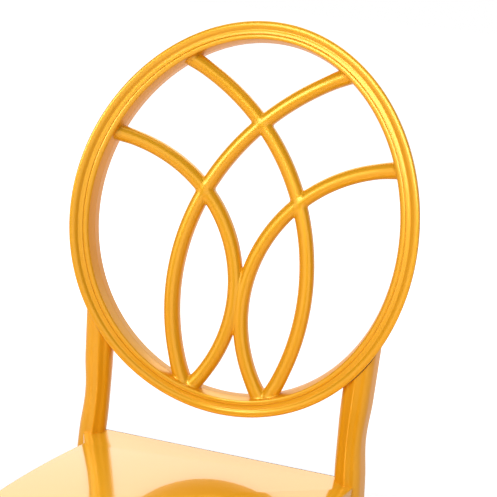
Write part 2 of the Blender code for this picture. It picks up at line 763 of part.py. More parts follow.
def make_seat(shop, post_cutters):
    """The seat: a flat top with a skirt and ribs, a block at each post and a socket for each front leg."""
    top = SEAT_HEIGHT
    ceiling = top - SEAT_TOP_WALL
    slab = seat_slab("seat", 0, SKIRT_BOTTOM, top)
    seat = shop.part("seat_shell", slab, RESIN_LOOK)
    edge = seat.modifiers.new("edge_round", "BEVEL")
    edge.width = SEAT_EDGE_ROUND * MM
    edge.segments = 2
    edge.limit_method = "ANGLE"
    edge.angle_limit = math.radians(SHARP_ANGLE)
    pocket = shop.cutter("seat_pocket",
                         seat_slab("pocket", SEAT_SKIRT_WALL, SKIRT_BOTTOM - CUT_OVERRUN, ceiling))
    rib_low = ceiling - RIB_HEIGHT
    rib_high = ceiling + CUT_OVERRUN
    reach = SEAT_HALF_WIDTH
    front = BACK_Y + SEAT_REAR - SEAT_DEPTH
    kept = []
    for number, x in enumerate((-RIB_SPACING / 2, RIB_SPACING / 2)):
        low = (x - RIB_WALL / 2, front, rib_low)
        high = (x + RIB_WALL / 2, BACK_Y + SEAT_REAR, rib_high)
        kept.append(shop.cutter(f"long_rib_{number}", box_mesh("long_rib", low, high)))
    for number in range(int(SEAT_DEPTH / RIB_SPACING) - 1):
        y = BACK_Y + SEAT_REAR - RIB_SPACING * (number + 1)
        low = (-reach, y - RIB_WALL / 2, rib_low)
        high = (reach, y + RIB_WALL / 2, rib_high)
        kept.append(shop.cutter(f"cross_rib_{number}", box_mesh("cross_rib", low, high)))
    bores = []
    for side, label in ((-1, "left"), (1, "right")):
        low = (-REAR_BLOCK_WIDTH / 2, rear_joint(), SKIRT_BOTTOM - 2 * CUT_OVERRUN - top)
        high = (REAR_BLOCK_WIDTH / 2, 0, CUT_OVERRUN)
        block = shop.cutter("rear_block_" + label, box_mesh("rear_block", low, high))
        block.matrix_world = post_place(side)
        wall = SPIGOT_SIZE / 2 + GAP + FRONT_BLOCK_WALL
        low = (-wall, -FRONT_BLOCK_WIDTH / 2, SKIRT_BOTTOM - 2 * CUT_OVERRUN)
        high = (0, FRONT_BLOCK_WIDTH / 2, top + CUT_OVERRUN)
        pad = shop.cutter("front_block_" + label, box_mesh("front_block", low, high))
        pad.matrix_world = front_leg_place(side) @ inner_side(side)
        outer = SPIGOT_SIZE + 2 * GAP + 2 * SOCKET_WALL
        boss = cylinder_mesh("socket", outer, SKIRT_BOTTOM - 2 * CUT_OVERRUN, top, SOCKET_STEPS)
        socket = shop.cutter("socket_" + label, boss)
        socket.matrix_world = front_leg_place(side)
        kept += [block, pad, socket]
        bore = shop.cutter("spigot_bore_" + label,
                           cylinder_mesh("spigot_bore", SPIGOT_SIZE + 2 * GAP, SKIRT_BOTTOM - CUT_OVERRUN,
                                         SKIRT_BOTTOM + SPIGOT_HEIGHT + GAP, TURNING_STEPS))
        bore.matrix_world = front_leg_place(side)
        bores.append(bore)
        axes = list(rear_bolt_axes(side)) + list(front_bolt_axes(side))
        for number, (axis, reach_out) in enumerate(axes):
            hole = shop.cutter(f"bolt_hole_{label}_{number}",
                               cylinder_mesh("bolt_hole", BOLT_SIZE + 2 * GAP, -CUT_OVERRUN,
                                             reach_out + CUT_OVERRUN, SMALL_STEPS))
            hole.matrix_world = axis
            bores.append(hole)
    for item in kept:
        boolean(pocket, item, "DIFFERENCE")
    boolean(seat, pocket, "DIFFERENCE")
    for cutter in post_cutters + bores:
        boolean(seat, cutter, "DIFFERENCE")
    return seat


def front_leg_profile():
    """The turned front leg, from the top of its spigot down its outside and back up its bore."""
    collar = SKIRT_BOTTOM - GAP
    bead = collar - FRONT_COLLAR_HEIGHT - FRONT_NECK_HEIGHT
    neck = bead - FRONT_BEAD_HEIGHT
    shaft = neck - FRONT_NECK_HEIGHT
    foot = GLIDE_HEIGHT + GAP
    spigot_top = SKIRT_BOTTOM + SPIGOT_HEIGHT
    spigot = SPIGOT_SIZE / 2
    ring = FRONT_COLLAR_SIZE / 2
    slim = FRONT_NECK_SIZE / 2
    bulge = FRONT_BEAD_SIZE / 2
    chamfer = TURNED_CHAMFER
    collar_low = collar - FRONT_COLLAR_HEIGHT
    points = [(0, spigot_top), (spigot - chamfer, spigot_top), (spigot, spigot_top - chamfer),
              (spigot, collar), (ring - chamfer, collar), (ring, collar - chamfer),
              (ring, collar_low + chamfer), (ring - chamfer, collar_low), (slim, collar_low - chamfer / 2),
              (slim, bead)]
    for i in range(1, PROFILE_STEPS):
        turn = math.pi * i / PROFILE_STEPS
        points.append((slim + (bulge - slim) * math.sin(turn), bead - FRONT_BEAD_HEIGHT * i / PROFILE_STEPS))
    points += [(slim, neck), (slim - chamfer, shaft)]
    heel = FRONT_FOOT_SIZE / 2
    for i in range(1, PROFILE_STEPS + 1):
        along = i / PROFILE_STEPS
        swell = math.sin(math.pi * along) * FRONT_LEG_SWELL
        radius = slim - chamfer + (heel - slim + chamfer) * along + swell
        points.append((radius, shaft + (foot + chamfer - shaft) * along))
    core = FRONT_CORE_SIZE / 2 + GAP
    stem = GLIDE_STEM_SIZE / 2 + GAP
    stem_top = foot + GLIDE_STEM_HEIGHT + GAP
    bore_top = spigot_top - CORE_TOP_COVER
    points += [(heel - chamfer, foot), (stem, foot), (stem, stem_top), (core, stem_top), (core, bore_top),
               (0, bore_top)]
    return points


def make_front_legs(shop):
    stem_top = GLIDE_HEIGHT + GLIDE_STEM_HEIGHT + 3 * GAP
    core_top = SKIRT_BOTTOM + SPIGOT_HEIGHT - CORE_TOP_COVER - GAP
    for side, label in ((-1, "left"), (1, "right")):
        leg = shop.part("front_leg_" + label, turned_mesh("front_leg", front_leg_profile(), TURNING_STEPS),
                        RESIN_LOOK)
        leg.matrix_world = front_leg_place(side)
        for number, (axis, _reach) in enumerate(front_bolt_axes(side)):
            pocket = shop.cutter(f"front_insert_pocket_{label}_{number}", insert_pocket(INSERT_RECESS))
            pocket.matrix_world = axis
            boolean(leg, pocket, "DIFFERENCE")
        rod = cylinder_mesh("front_core", FRONT_CORE_SIZE, stem_top, core_top, TURNING_STEPS)
        core = shop.part("front_core_" + label, rod, STEEL_LOOK)
        core.matrix_world = front_leg_place(side)


def insert_pocket(recess):
    depth = recess + INSERT_LENGTH + GAP
    return cylinder_mesh("insert_pocket", INSERT_SIZE + 2 * GAP, -depth, CUT_OVERRUN, SMALL_STEPS)


def make_rear_legs(shop, oval_plug, core_bores):
    for side, label, bore in ((-1, "left", core_bores[0]), (1, "right", core_bores[1])):
        leg = shop.part("rear_leg_" + label, handed(leg_mesh("rear_leg", 0), side), RESIN_LOOK)
        leg.matrix_world = post_place(side)
        boolean(leg, oval_plug, "DIFFERENCE")
        boolean(leg, bore, "DIFFERENCE")
        out, back = leg_offset(GLIDE_HEIGHT - SEAT_HEIGHT)
        stem = shop.cutter("stem_bore_" + label,
                           cylinder_mesh("stem_bore", GLIDE_STEM_SIZE + 2 * GAP, -CUT_OVERRUN,
                                         GLIDE_HEIGHT + GLIDE_STEM_HEIGHT + GAP, TURNING_STEPS))
        stem.matrix_world = post_place(side) @ at(side * out, back, -SEAT_HEIGHT)
        boolean(leg, stem, "DIFFERENCE")
        for number, (axis, _reach) in enumerate(rear_bolt_axes(side)):
            pocket = shop.cutter(f"rear_insert_pocket_{label}_{number}", insert_pocket(REAR_INSERT_RECESS))
            pocket.matrix_world = axis
            boolean(leg, pocket, "DIFFERENCE")
        rod = handed(rod_mesh("rear_core", core_route(), REAR_CORE_SIZE), side)
        core = shop.part("rear_core_" + label, rod, STEEL_LOOK)
        core.matrix_world = post_place(side)


def make_glides(shop):
    """A nylon glide in each foot: a round pad with a stem."""
    pad = GLIDE_SIZE / 2
    stem = GLIDE_STEM_SIZE / 2
    top = GLIDE_HEIGHT + GLIDE_STEM_HEIGHT
    chamfer = TURNED_CHAMFER
    profile = [(0, top), (stem - chamfer, top), (stem, top - chamfer), (stem, GLIDE_HEIGHT),
               (pad, GLIDE_HEIGHT), (pad, chamfer), (pad - chamfer, 0), (0, 0)]
    out, back = leg_offset(GLIDE_HEIGHT - SEAT_HEIGHT)
    for side, label in ((-1, "left"), (1, "right")):
        rear = post_place(side) @ at(side * out, back, -SEAT_HEIGHT)
        for end, place in (("front", front_leg_place(side)), ("rear", rear)):
            mesh = turned_mesh("glide", profile, TURNING_STEPS)
            glide = shop.part(f"foot_glide_{end}_{label}", mesh, NYLON_LOOK)
            glide.matrix_world = place


def make_joint_hardware(shop):
    """Bolts and inserts of the four leg joints, and the steel plate under each pair of bolt heads."""
    under_head = PLATE_WALL + 2 * GAP
    half_height = BOLT_SPACING / 2 + PLATE_MARGIN
    joints = (("rear", rear_bolt_axes, REAR_INSERT_RECESS), ("front", front_bolt_axes, INSERT_RECESS))
    for end, axes_of, recess in joints:
        for side, label in ((-1, "left"), (1, "right")):
            axes = list(axes_of(side))
            place = axes[0][0].copy()
            place.translation = axes[0][0].translation.lerp(axes[1][0].translation, 0.5)
            plate_out = (axes[0][1] + axes[1][1]) / 2
            wide, tall = (PLATE_WIDTH / 2, half_height) if end == "rear" else (half_height, PLATE_WIDTH / 2)
            slab = box_mesh("plate", (-wide, -tall, GAP), (wide, tall, GAP + PLATE_WALL))
            plate = shop.part(f"{end}_bolt_plate_{label}", slab, STEEL_LOOK)
            plate.matrix_world = place @ at(0, 0, plate_out)
            for level, (axis, reach) in zip(("upper", "lower"), axes):
                punch = cylinder_mesh("plate_hole", BOLT_SIZE + 2 * GAP, 0, reach + CUT_OVERRUN, SMALL_STEPS)
                hole = shop.cutter(f"plate_hole_{end}_{label}_{level}", punch)
                hole.matrix_world = axis
                boolean(plate, hole, "DIFFERENCE")
                length = under_head + reach + recess + INSERT_LENGTH - BOLT_TIP_SHORT
                bolt = shop.part(f"{end}_leg_bolt_{label}_{level}",
                                 screw_mesh("bolt", BOLT_SIZE, BOLT_HEAD_SIZE, BOLT_HEAD_HEIGHT, length,
                                            BOLT_SOCKET_SIZE, BOLT_SOCKET_DEPTH), STEEL_LOOK)
                bolt.matrix_world = axis @ at(0, 0, reach + under_head)
                insert = shop.part(f"{end}_leg_insert_{label}_{level}", insert_mesh(), BRASS_LOOK)
                insert.matrix_world = axis @ at(0, 0, -recess)


def grub_places():
    """Frames on the cores' middle lines, z out of the ring's rear face, one for each side."""
    rise = ring_rise_at_post() + GRUB_RISE
    along = OVAL_RISE + rise
    depth = OVAL_LEAD + (POST_BACK - math.sin(RAKE) * along) / math.cos(RAKE)
    rear_face = oval_bend(POST_HALF_SPACING) + RING_DEPTH - depth
    turned = Matrix.Rotation(math.pi, 4, "X")
    places = [oval_matrix() @ at(side * POST_HALF_SPACING, rise, -depth) @ turned for side in (-1, 1)]
    return places, rear_face


def make_grub_wells(shop):
    """Cutters for the screw holes in the ring's rear face."""
    places, rear_face = grub_places()
    wells = []
    for place, label in zip(places, ("left", "right")):
        hole = shop.cutter("grub_hole_" + label,
                           cylinder_mesh("grub_hole", GRUB_SIZE + 2 * GAP, 0, rear_face, SMALL_STEPS))
        well = shop.cutter("grub_well_" + label,
                           cylinder_mesh("grub_well", GRUB_WELL_SIZE, rear_face - GRUB_WELL_DEPTH,
                                         rear_face + CUT_OVERRUN, SMALL_STEPS))
        for cutter in (hole, well):
            cutter.matrix_world = place
            wells.append(cutter)
    return wells


def make_grub_screws(shop):
    places, rear_face = grub_places()
    floor = rear_face - GRUB_WELL_DEPTH + GAP
    core_face = (REAR_CORE_SIZE / 2 + GRUB_SIZE / 2 * math.sin(RAKE)) / math.cos(RAKE)
    length = floor - core_face - GAP
    cap_top = rear_face - CAP_RECESS
    cap_size = GRUB_WELL_SIZE - 2 * GAP
    for place, label in zip(places, ("left", "right")):
        mesh = screw_mesh("grub", GRUB_SIZE, GRUB_HEAD_SIZE, GRUB_HEAD_HEIGHT, length,
                          GRUB_SIZE / 2, GRUB_HEAD_HEIGHT / 2)
        screw = shop.part("back_lock_screw_" + label, mesh, STEEL_LOOK)
        screw.matrix_world = place @ at(0, 0, floor)
        disc = cylinder_mesh("cap", cap_size, cap_top - CAP_HEIGHT, cap_top, SMALL_STEPS)
        cap = shop.part("screw_cap_" + label, disc, RESIN_LOOK)
        cap.matrix_world = place


def main():
    for old in list(bpy.data.objects):
        bpy.data.objects.remove(old)
    shop = Workshop()
    core_bores = []
    post_cutters = []
    for side, label in ((-1, "left"), (1, "right")):
        bore = shop.cutter("core_bore_" + label,
                           handed(rod_mesh("core_bore", core_bore_route(), REAR_CORE_SIZE + 2 * GAP), side))
        clearance = shop.cutter("post_clearance_" + label, handed(leg_mesh("post_clearance", GAP), side))
        for cutter in (bore, clearance):
            cutter.matrix_world = post_place(side)
        core_bores.append(bore)
        post_cutters.append(clearance)
    make_oval_back(shop, core_bores, make_grub_wells(shop))
    make_rear_legs(shop, make_oval_plug(shop), core_bores)
    make_seat(shop, post_cutters)
    make_front_legs(shop)
    make_glides(shop)
    make_joint_hardware(shop)
    make_grub_screws(shop)
    chair = bpy.data.objects.new("chair_origin", None)
    shop.parts.objects.link(chair)
    for obj in list(shop.parts.objects):
        if obj is not chair:
            obj.parent = chair


main()
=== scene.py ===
"""Gold resin event chair with an oval lattice back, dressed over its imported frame.

The ring and the lattice of the back, the rear legs, the seat and the turned front legs are modelled again
as fine meshes, each in the place of its own node. So are the glides, the bolts, their plates and the caps.
The cores, the inserts and the lock screws keep the frame's own meshes, with a finish each.
Sizes are in millimetres, in the frame's axes: the chair faces -Y and stands on z = 0.
"""
import json
import math

import bmesh
import bpy
import numpy as np
from mathutils import Euler, Matrix, Vector


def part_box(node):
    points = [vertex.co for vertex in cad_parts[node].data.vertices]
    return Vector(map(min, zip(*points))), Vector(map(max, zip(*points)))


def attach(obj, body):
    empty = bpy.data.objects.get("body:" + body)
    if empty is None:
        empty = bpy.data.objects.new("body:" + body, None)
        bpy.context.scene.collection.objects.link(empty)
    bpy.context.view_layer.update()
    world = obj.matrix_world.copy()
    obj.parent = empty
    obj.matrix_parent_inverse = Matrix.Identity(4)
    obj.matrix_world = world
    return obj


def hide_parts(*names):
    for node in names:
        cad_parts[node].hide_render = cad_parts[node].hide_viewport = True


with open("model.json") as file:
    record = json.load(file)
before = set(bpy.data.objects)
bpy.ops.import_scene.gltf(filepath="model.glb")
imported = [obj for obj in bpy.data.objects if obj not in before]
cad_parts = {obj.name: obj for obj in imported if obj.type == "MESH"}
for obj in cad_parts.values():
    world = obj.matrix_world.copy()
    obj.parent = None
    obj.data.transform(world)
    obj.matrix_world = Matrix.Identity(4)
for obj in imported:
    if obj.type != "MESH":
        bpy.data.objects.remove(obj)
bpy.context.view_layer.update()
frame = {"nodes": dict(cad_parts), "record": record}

MM = 0.001
GAP = 0.3
PLUG_GAP = 0.1
SIDES = ((-1, "left"), (1, "right"))
MERGE_DISTANCE = 0.001
LEVEL_SLACK = 0.1
CUT_OVERRUN = 5.0
SHARP_ANGLE = math.radians(32)
TINY = 1e-9
HALVINGS = 30

# Seat
SEAT_TOP_WALL = 4.0
SEAT_SKIRT_WALL = 4.5
SEAT_EDGE_ROUND = 1.4
SEAT_REAR = 12.0
SEAT_WAIST_HALF_WIDTH = 144.5
SEAT_WAIST_FRONT = 25.0
SEAT_FLARE = 13.0
SEAT_WIDEST_FRONT = 222.0
SEAT_WAIST_PULL = 7.0
SEAT_WAIST_SPLAY = 3.0
SEAT_SIDE_PULL = 88.0
SEAT_CORNER_PULL = 112.0
SEAT_FRONT_PULL = 150.0
SEAT_CURVE_STEPS = 48
SEAT_MERGE_DISTANCE = 0.01
SEAT_STRAIGHT_ANGLE = math.radians(0.05)
SEAT_CORNER_ANGLE = math.radians(30)
RIB_WALL = 3.0
RIB_HEIGHT = 22.0
RIB_SPACING = 92.0
SOCKET_WALL = 6.0
SOCKET_STEPS = 64

# Oval back: the ring's moulding runs in from the rim bead over cove, shelf and quirk to the inner bead
RAKE = math.radians(12.0)
OVAL_HALF_WIDTH = 180.3
OVAL_HALF_HEIGHT = 211.0
OVAL_EGG = 0.023
OVAL_BEND_RADIUS = 363.0
OVAL_RISE = 262.3
OVAL_LEAD = 9.5
RING_FACE = 18.6
RING_DEPTH = 33.7
RING_DRAFT = 0.6
RING_STEPS = 320
RING_SHARP_ANGLE = math.radians(28)
RIM_BEAD = 8.4
RIM_BEAD_HEIGHT = 2.2
RIM_BEAD_SHARE = 0.8
COVE_RADIUS = 2.2
COVE_START = 0.85
SHELF_TILT = 14.0
SHELF_RADIUS = 18.0
SHELF_START = 0.8
INNER_BEAD = 5.3
INNER_BEAD_HEIGHT = 1.0
INNER_BEAD_DROP = 0.4
QUIRK_WIDTH = 0.4
QUIRK_DEPTH = 0.05
QUIRK_LIP_WIDTH = 0.12
QUIRK_LIP_DEPTH = 0.08
BEAD_STEPS = 14
COVE_STEPS = 8
SHELF_STEPS = 5
PARTING_GROOVE = 0.25
PARTING_REACH = 0.4
REAR_ROUND = 3.0
REAR_ROUND_STEPS = 6
PLUG_SLICE = 20.0

# Lattice: a pair of arcs is how far its centres lie beside and below the oval's centre, and its radius
BAR_WIDTH = 16.0
BAR_DEPTH = 18.3
BAR_CROWN = 6.5
BAR_FLARE = 0.08
BAR_FLARE_LENGTH = 20.0
BAR_STEP = 3.0
BAR_CROWN_STEPS = 12
ARCS = ((189.4, 74.6, 261.9), (169.7, 87.2, 165.2))
LATTICE_VOXEL = 1.15
LATTICE_SHARP_ANGLE = math.radians(60)
CROSSING_FILLET = 1.8
WALL_FILLET = 2.5
SUNK = 0.2
POLISH_PASSES = 6
POLISH_NUDGE = 0.05
POLISH_SHIFT = 0.8
POLISH_LEAST_SLOPE = 0.2
POLISH_DEPTH = 1.0

# Rear legs
POST_HALF_SPACING = 144.0
POST_BACK = 10.4
POST_TOE_IN = math.radians(16.0)
POST_SIZE = 30.0
POST_ROUND = 9.0
POST_ROUND_STEPS = 8
POST_RIDGE = 2.3
POST_RIDGE_SOFTNESS = 0.14
POST_RIDGE_STEPS = 5
POST_WAIST = 2.5
POST_WAIST_SHIFT = 0.8
POST_WAIST_HEIGHT = 50.0
POST_WAIST_REACH = 45.0
POST_FLARE_HEIGHT = 90.0
POST_FLARE_OUT = 3.9
POST_FLARE_BACK = 2.5
POST_OVERRUN = 50.0
REAR_FOOT_SIZE = 23.0
REAR_FOOT_OUT = 14.0
REAR_FOOT_BACK = 78.0
LEG_STEP = 8.0

# Front legs
FRONT_COLLAR_SIZE = 42.0
FRONT_COLLAR_HEIGHT = 7.0
FRONT_BEAD_SIZE = 39.0
FRONT_BEAD_HEIGHT = 9.0
FRONT_NECK_SIZE = 33.0
FRONT_NECK_HEIGHT = 5.0
FRONT_FOOT_SIZE = 23.0
FRONT_LEG_SWELL = 1.5
FRONT_BEAD_TURN = 85.0
FRONT_BEAD_STEPS = 16
COLLAR_ROUND = 1.6
COLLAR_COVE = 1.4
BEAD_COVE = 1.0
SHOULDER_HEIGHT = 1.2
SHOULDER_STEP = 1.0
SHAFT_END = 1.0
SHAFT_STEPS = 24
FOOT_ROUND = 1.2
SPIGOT_SIZE = 30.0
SPIGOT_HEIGHT = 29.0
SPIGOT_CHAMFER = 1.0
TURNED_STEPS = 72

# Glides, bolts, plates and the caps over the screws that lock the back
GLIDE_SIZE = 22.0
GLIDE_HEIGHT = 4.0
GLIDE_STEM_SIZE = 12.0
GLIDE_STEM_HEIGHT = 15.0
GLIDE_STEM_CHAMFER = 1.0
GLIDE_EDGE = 1.2
GLIDE_EDGE_STEPS = 6
BOLT_SIZE = 6.0
BOLT_HEAD_SIZE = 10.0
BOLT_HEAD_HEIGHT = 6.0
BOLT_EDGE = 0.8
BOLT_SOCKET_SIZE = 5.0
BOLT_SOCKET_DEPTH = 3.0
BOLT_SOCKET_SIDES = 6
BOLT_TIP_SHORT = 1.0
BOLT_SPACING = 14.0
INSERT_LENGTH = 6.5
INSERT_RECESS = 1.2
REAR_INSERT_RECESS = 2.8
PLATE_WALL = 2.0
PLATE_WIDTH = 14.0
PLATE_MARGIN = 7.0
PLATE_CORNER = 2.5
PLATE_CORNER_STEPS = 6
PLATE_EDGE = 0.3
PLATE_EDGE_STEPS = 2
GRUB_WELL_SIZE = 9.0
GRUB_WELL_DEPTH = 8.5
GRUB_RISE = 15.0
CAP_HEIGHT = 2.0
CAP_RECESS = 2.5
CAP_EDGE = 0.5
SMALL_STEPS = 48
BORE_STEPS = 24
ROUND_STEPS = 5
EDGE_STEPS = 4
REAR_BOLT_INSET = 7.0
REAR_BLOCK_WIDTH = 34.0
REAR_BLOCK_WALL = 12.0
FRONT_BLOCK_WIDTH = 26.0
FRONT_BLOCK_WALL = 9.0

# Places worked out from the frame
SEAT_BOX = [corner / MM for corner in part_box("seat_shell")]
SEAT_HEIGHT = SEAT_BOX[1].z
SKIRT_BOTTOM = SEAT_BOX[0].z
SEAT_HALF_WIDTH = SEAT_BOX[1].x
SEAT_DEPTH = SEAT_BOX[1].y - SEAT_BOX[0].y
BACK_Y = SEAT_BOX[1].y - SEAT_REAR
FRONT_GLIDE = [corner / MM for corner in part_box("foot_glide_front_right")]
FRONT_LEG_PLACE = (FRONT_GLIDE[0] + FRONT_GLIDE[1]) / 2

# Camera, in metres and degrees
CAMERA_PLACE = Vector((0.1699, BACK_Y * MM - 0.8047, SEAT_HEIGHT * MM + 0.5167))
CAMERA_TURN = (71.665, -5.348, 12.72)
CAMERA_LENS = 61.81
CAMERA_SENSOR = 36.0
CAMERA_NEAR = 0.01

# Finishes: the moulded skin's noises by name, scale and detail, each finish, and the slots it goes to
SKIN_NOISES = (("drift", 9.0, 2.0), ("peel", 900.0, 2.0), ("wave", 22.0, 1.0))
GLOSS_DRIFT = 0.06
FINISHES = {
    "gold": dict(name="gold_resin", tone=(0.87, 0.405, 0.008), deep_tone=(0.83, 0.38, 0.007), gloss=0.33,
                 metallic=0.35, mirror=0.7, edge=(1.0, 0.85, 0.3), coat=0.55, coat_roughness=0.2),
    "seat": dict(name="gold_seat_resin", tone=(0.92, 0.445, 0.02), deep_tone=(0.88, 0.42, 0.016),
                 gloss=0.15, metallic=0.1, coat=1.0, coat_roughness=0.02, coat_index=1.7, wave=0.1),
    "core": dict(name="drawn_steel", tone=(0.42, 0.42, 0.43), deep_tone=(0.33, 0.33, 0.34), gloss=0.35,
                 metallic=1.0, peel=0.01),
    "zinc": dict(name="zinc_plate", tone=(0.62, 0.63, 0.64), deep_tone=(0.52, 0.52, 0.52), gloss=0.25,
                 metallic=1.0, peel=0.004),
    "brass": dict(name="insert_brass", tone=(0.70, 0.52, 0.22), deep_tone=(0.6, 0.42, 0.16), gloss=0.3,
                  metallic=1.0, peel=0.004),
    "nylon": dict(name="glide_nylon", tone=(0.72, 0.69, 0.62), deep_tone=(0.65, 0.62, 0.55), gloss=0.45,
                  peel=0.02),
}
SLOT_FINISHES = {"gold_resin": "gold", "core_steel": "core", "zinc_steel": "zinc",
                 "insert_brass": "brass", "glide_nylon": "nylon"}

# Light, in metres and watts: each lamp's name, place, aim, size and power
LAMPS = (
    ("key", (-0.8, -1.75, 1.9), (0, 0.1, 0.75), (1.2, 1.0), 27),
    ("left_card", (-1.65, -1.75, 1.25), (0, 0.1, 0.75), (1.6, 1.6), 9),
    ("right_card", (0.9, -2.1, 1.3), (0, 0.1, 0.75), (1.7, 1.7), 11),
    ("top_card", (0, 0.6, 2.7), (0, 0.1, 0.5), (2.0, 2.0), 14),
    ("rear_card", (-0.6, 2.6, 2.1), (0, 0.1, 0.45), (3.2, 1.8), 24),
)
# Ramps: between the first two numbers the strength goes from the third to the fourth. The floor's runs
# with the distance from the chair, the others with how far a ray aims to the rear, and the backdrop's
# also drops as the ray aims up.
FLOOR_GLOW = (0.5, 1.8, 0.45, 0.95)
BACKDROP = (-0.3, 0.55, 0.1, 1.0)
BACKDROP_FALL = -0.7
SKY = (-0.7, 0.5, 0.45, 0.25)
FLOOR_HALF_SIZE = 20.0
FLOOR_TONE = (0.6, 0.6, 0.6, 1)
FLOOR_ROUGHNESS = 0.9
# The floor's glow as the gold mirrors it: a warm painted reflection that browns the gold's edges
FLOOR_PAINTED_REFLECTION = (0.7, 0.4, 0.33, 1)
WHITE = (1, 1, 1, 1)


def eased(t):
    """A step from 0 to 1 that starts and ends softly."""
    return t * t * (3 - 2 * t)


def at(x, y, z):
    """A place in millimetres, as a matrix."""
    return Matrix.Translation(Vector((x, y, z)) * MM)


def new_mesh(name, bm):
    """A mesh of the bmesh, with its doubles merged and its faces turned outwards."""
    bmesh.ops.remove_doubles(bm, verts=bm.verts, dist=MERGE_DISTANCE * MM)
    bmesh.ops.recalc_face_normals(bm, faces=bm.faces)
    mesh = bpy.data.meshes.new(name)
    bm.to_mesh(mesh)
    bm.free()
    return mesh


def helper(name, mesh, place=Matrix.Identity(4)):
    """An object in the scene that is cut with, shaped further or put on the stage."""
    obj = bpy.data.objects.new(name, mesh)
    bpy.context.scene.collection.objects.link(obj)
    obj.matrix_world = place
    return obj


def applied(obj):
    """The object's mesh in its place with its modifiers applied; the object is removed."""
    bpy.context.view_layer.update()
    graph = bpy.context.evaluated_depsgraph_get()
    mesh = bpy.data.meshes.new_from_object(obj.evaluated_get(graph))
    mesh.transform(obj.matrix_world)
    bpy.data.objects.remove(obj)
    return mesh


def cut(obj, tools, operation="DIFFERENCE"):
    """The object's mesh after an exact cut by each tool, and the tools are removed."""
    for tool in tools:
        modifier = obj.modifiers.new(tool.name, "BOOLEAN")
        modifier.operation = operation
        modifier.solver = "EXACT"
        modifier.object = tool
    mesh = applied(obj)
    for tool in tools:
        bpy.data.objects.remove(tool)
    return mesh


def piece(name, mesh, material, nodes, sharp=SHARP_ANGLE):
    """A finished piece that rides on the chair and stands for its nodes."""
    mesh.name = name
    mesh.materials.clear()
    mesh.materials.append(material)
    mesh.shade_smooth()
    mesh.set_sharp_from_angle(angle=sharp)
    obj = helper(name, mesh)
    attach(obj, "root")
    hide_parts(*nodes)


def swept(outline, stations, closed):
    """A skin through an outline carried from station to station, with caps unless it closes on itself."""
    bm = bmesh.new()
    loop = [bm.verts.new(stations[0] @ Vector(point)) for point in outline]
    edges = [bm.edges.new(pair) for pair in zip(loop, loop[1:] + loop[:1])]
    if not closed:
        bm.faces.new(loop)
    for low, high in zip(stations, stations[1:]):
        made = bmesh.ops.extrude_edge_only(bm, edges=edges)["geom"]
        fresh = {item for item in made if isinstance(item, bmesh.types.BMVert)}
        drawn = [item for item in made if isinstance(item, bmesh.types.BMEdge)]
        edges = [edge for edge in drawn if fresh.issuperset(edge.verts)]
        bmesh.ops.transform(bm, matrix=high @ low.inverted(), verts=list(fresh))
    if not closed:
        bmesh.ops.contextual_create(bm, geom=edges)
    return bm


def arc(middle_u, middle_v, half_width, height, start, end, steps):
    """Points along part of an ellipse, from one angle to another, in degrees."""
    points = []
    for i in range(steps + 1):
        turn = math.radians(start + (end - start) * i / steps)
        points.append((middle_u + half_width * math.cos(turn), middle_v + height * math.sin(turn)))
    return points


def round_off(middle_u, middle_v, radius, start, end, steps):
    """Points along part of a circle, from one angle to another, in degrees."""
    return arc(middle_u, middle_v, radius, radius, start, end, steps)


def oval_bend(x):
    """How far the oval has bent at x, against the z of its drawing."""
    return -x * x / (2 * OVAL_BEND_RADIUS)


def oval_place():
    """Places the oval's flat drawing: x across, y up the leaning plane, z out of its front face."""
    y = math.sin(RAKE) * OVAL_RISE - math.cos(RAKE) * OVAL_LEAD
    z = math.cos(RAKE) * OVAL_RISE + math.sin(RAKE) * OVAL_LEAD
    return at(0, BACK_Y + y, SEAT_HEIGHT + z) @ Matrix.Rotation(math.pi / 2 - RAKE, 4, "X")


def egg(turn, inset):
    """A point at a turn round the oval, drawn in by inset; the oval is a little wider at its foot."""
    rise = (OVAL_HALF_HEIGHT - inset) * math.sin(turn)
    across = (OVAL_HALF_WIDTH - inset) * math.cos(turn)
    return across * (1 - OVAL_EGG * rise / OVAL_HALF_HEIGHT), rise


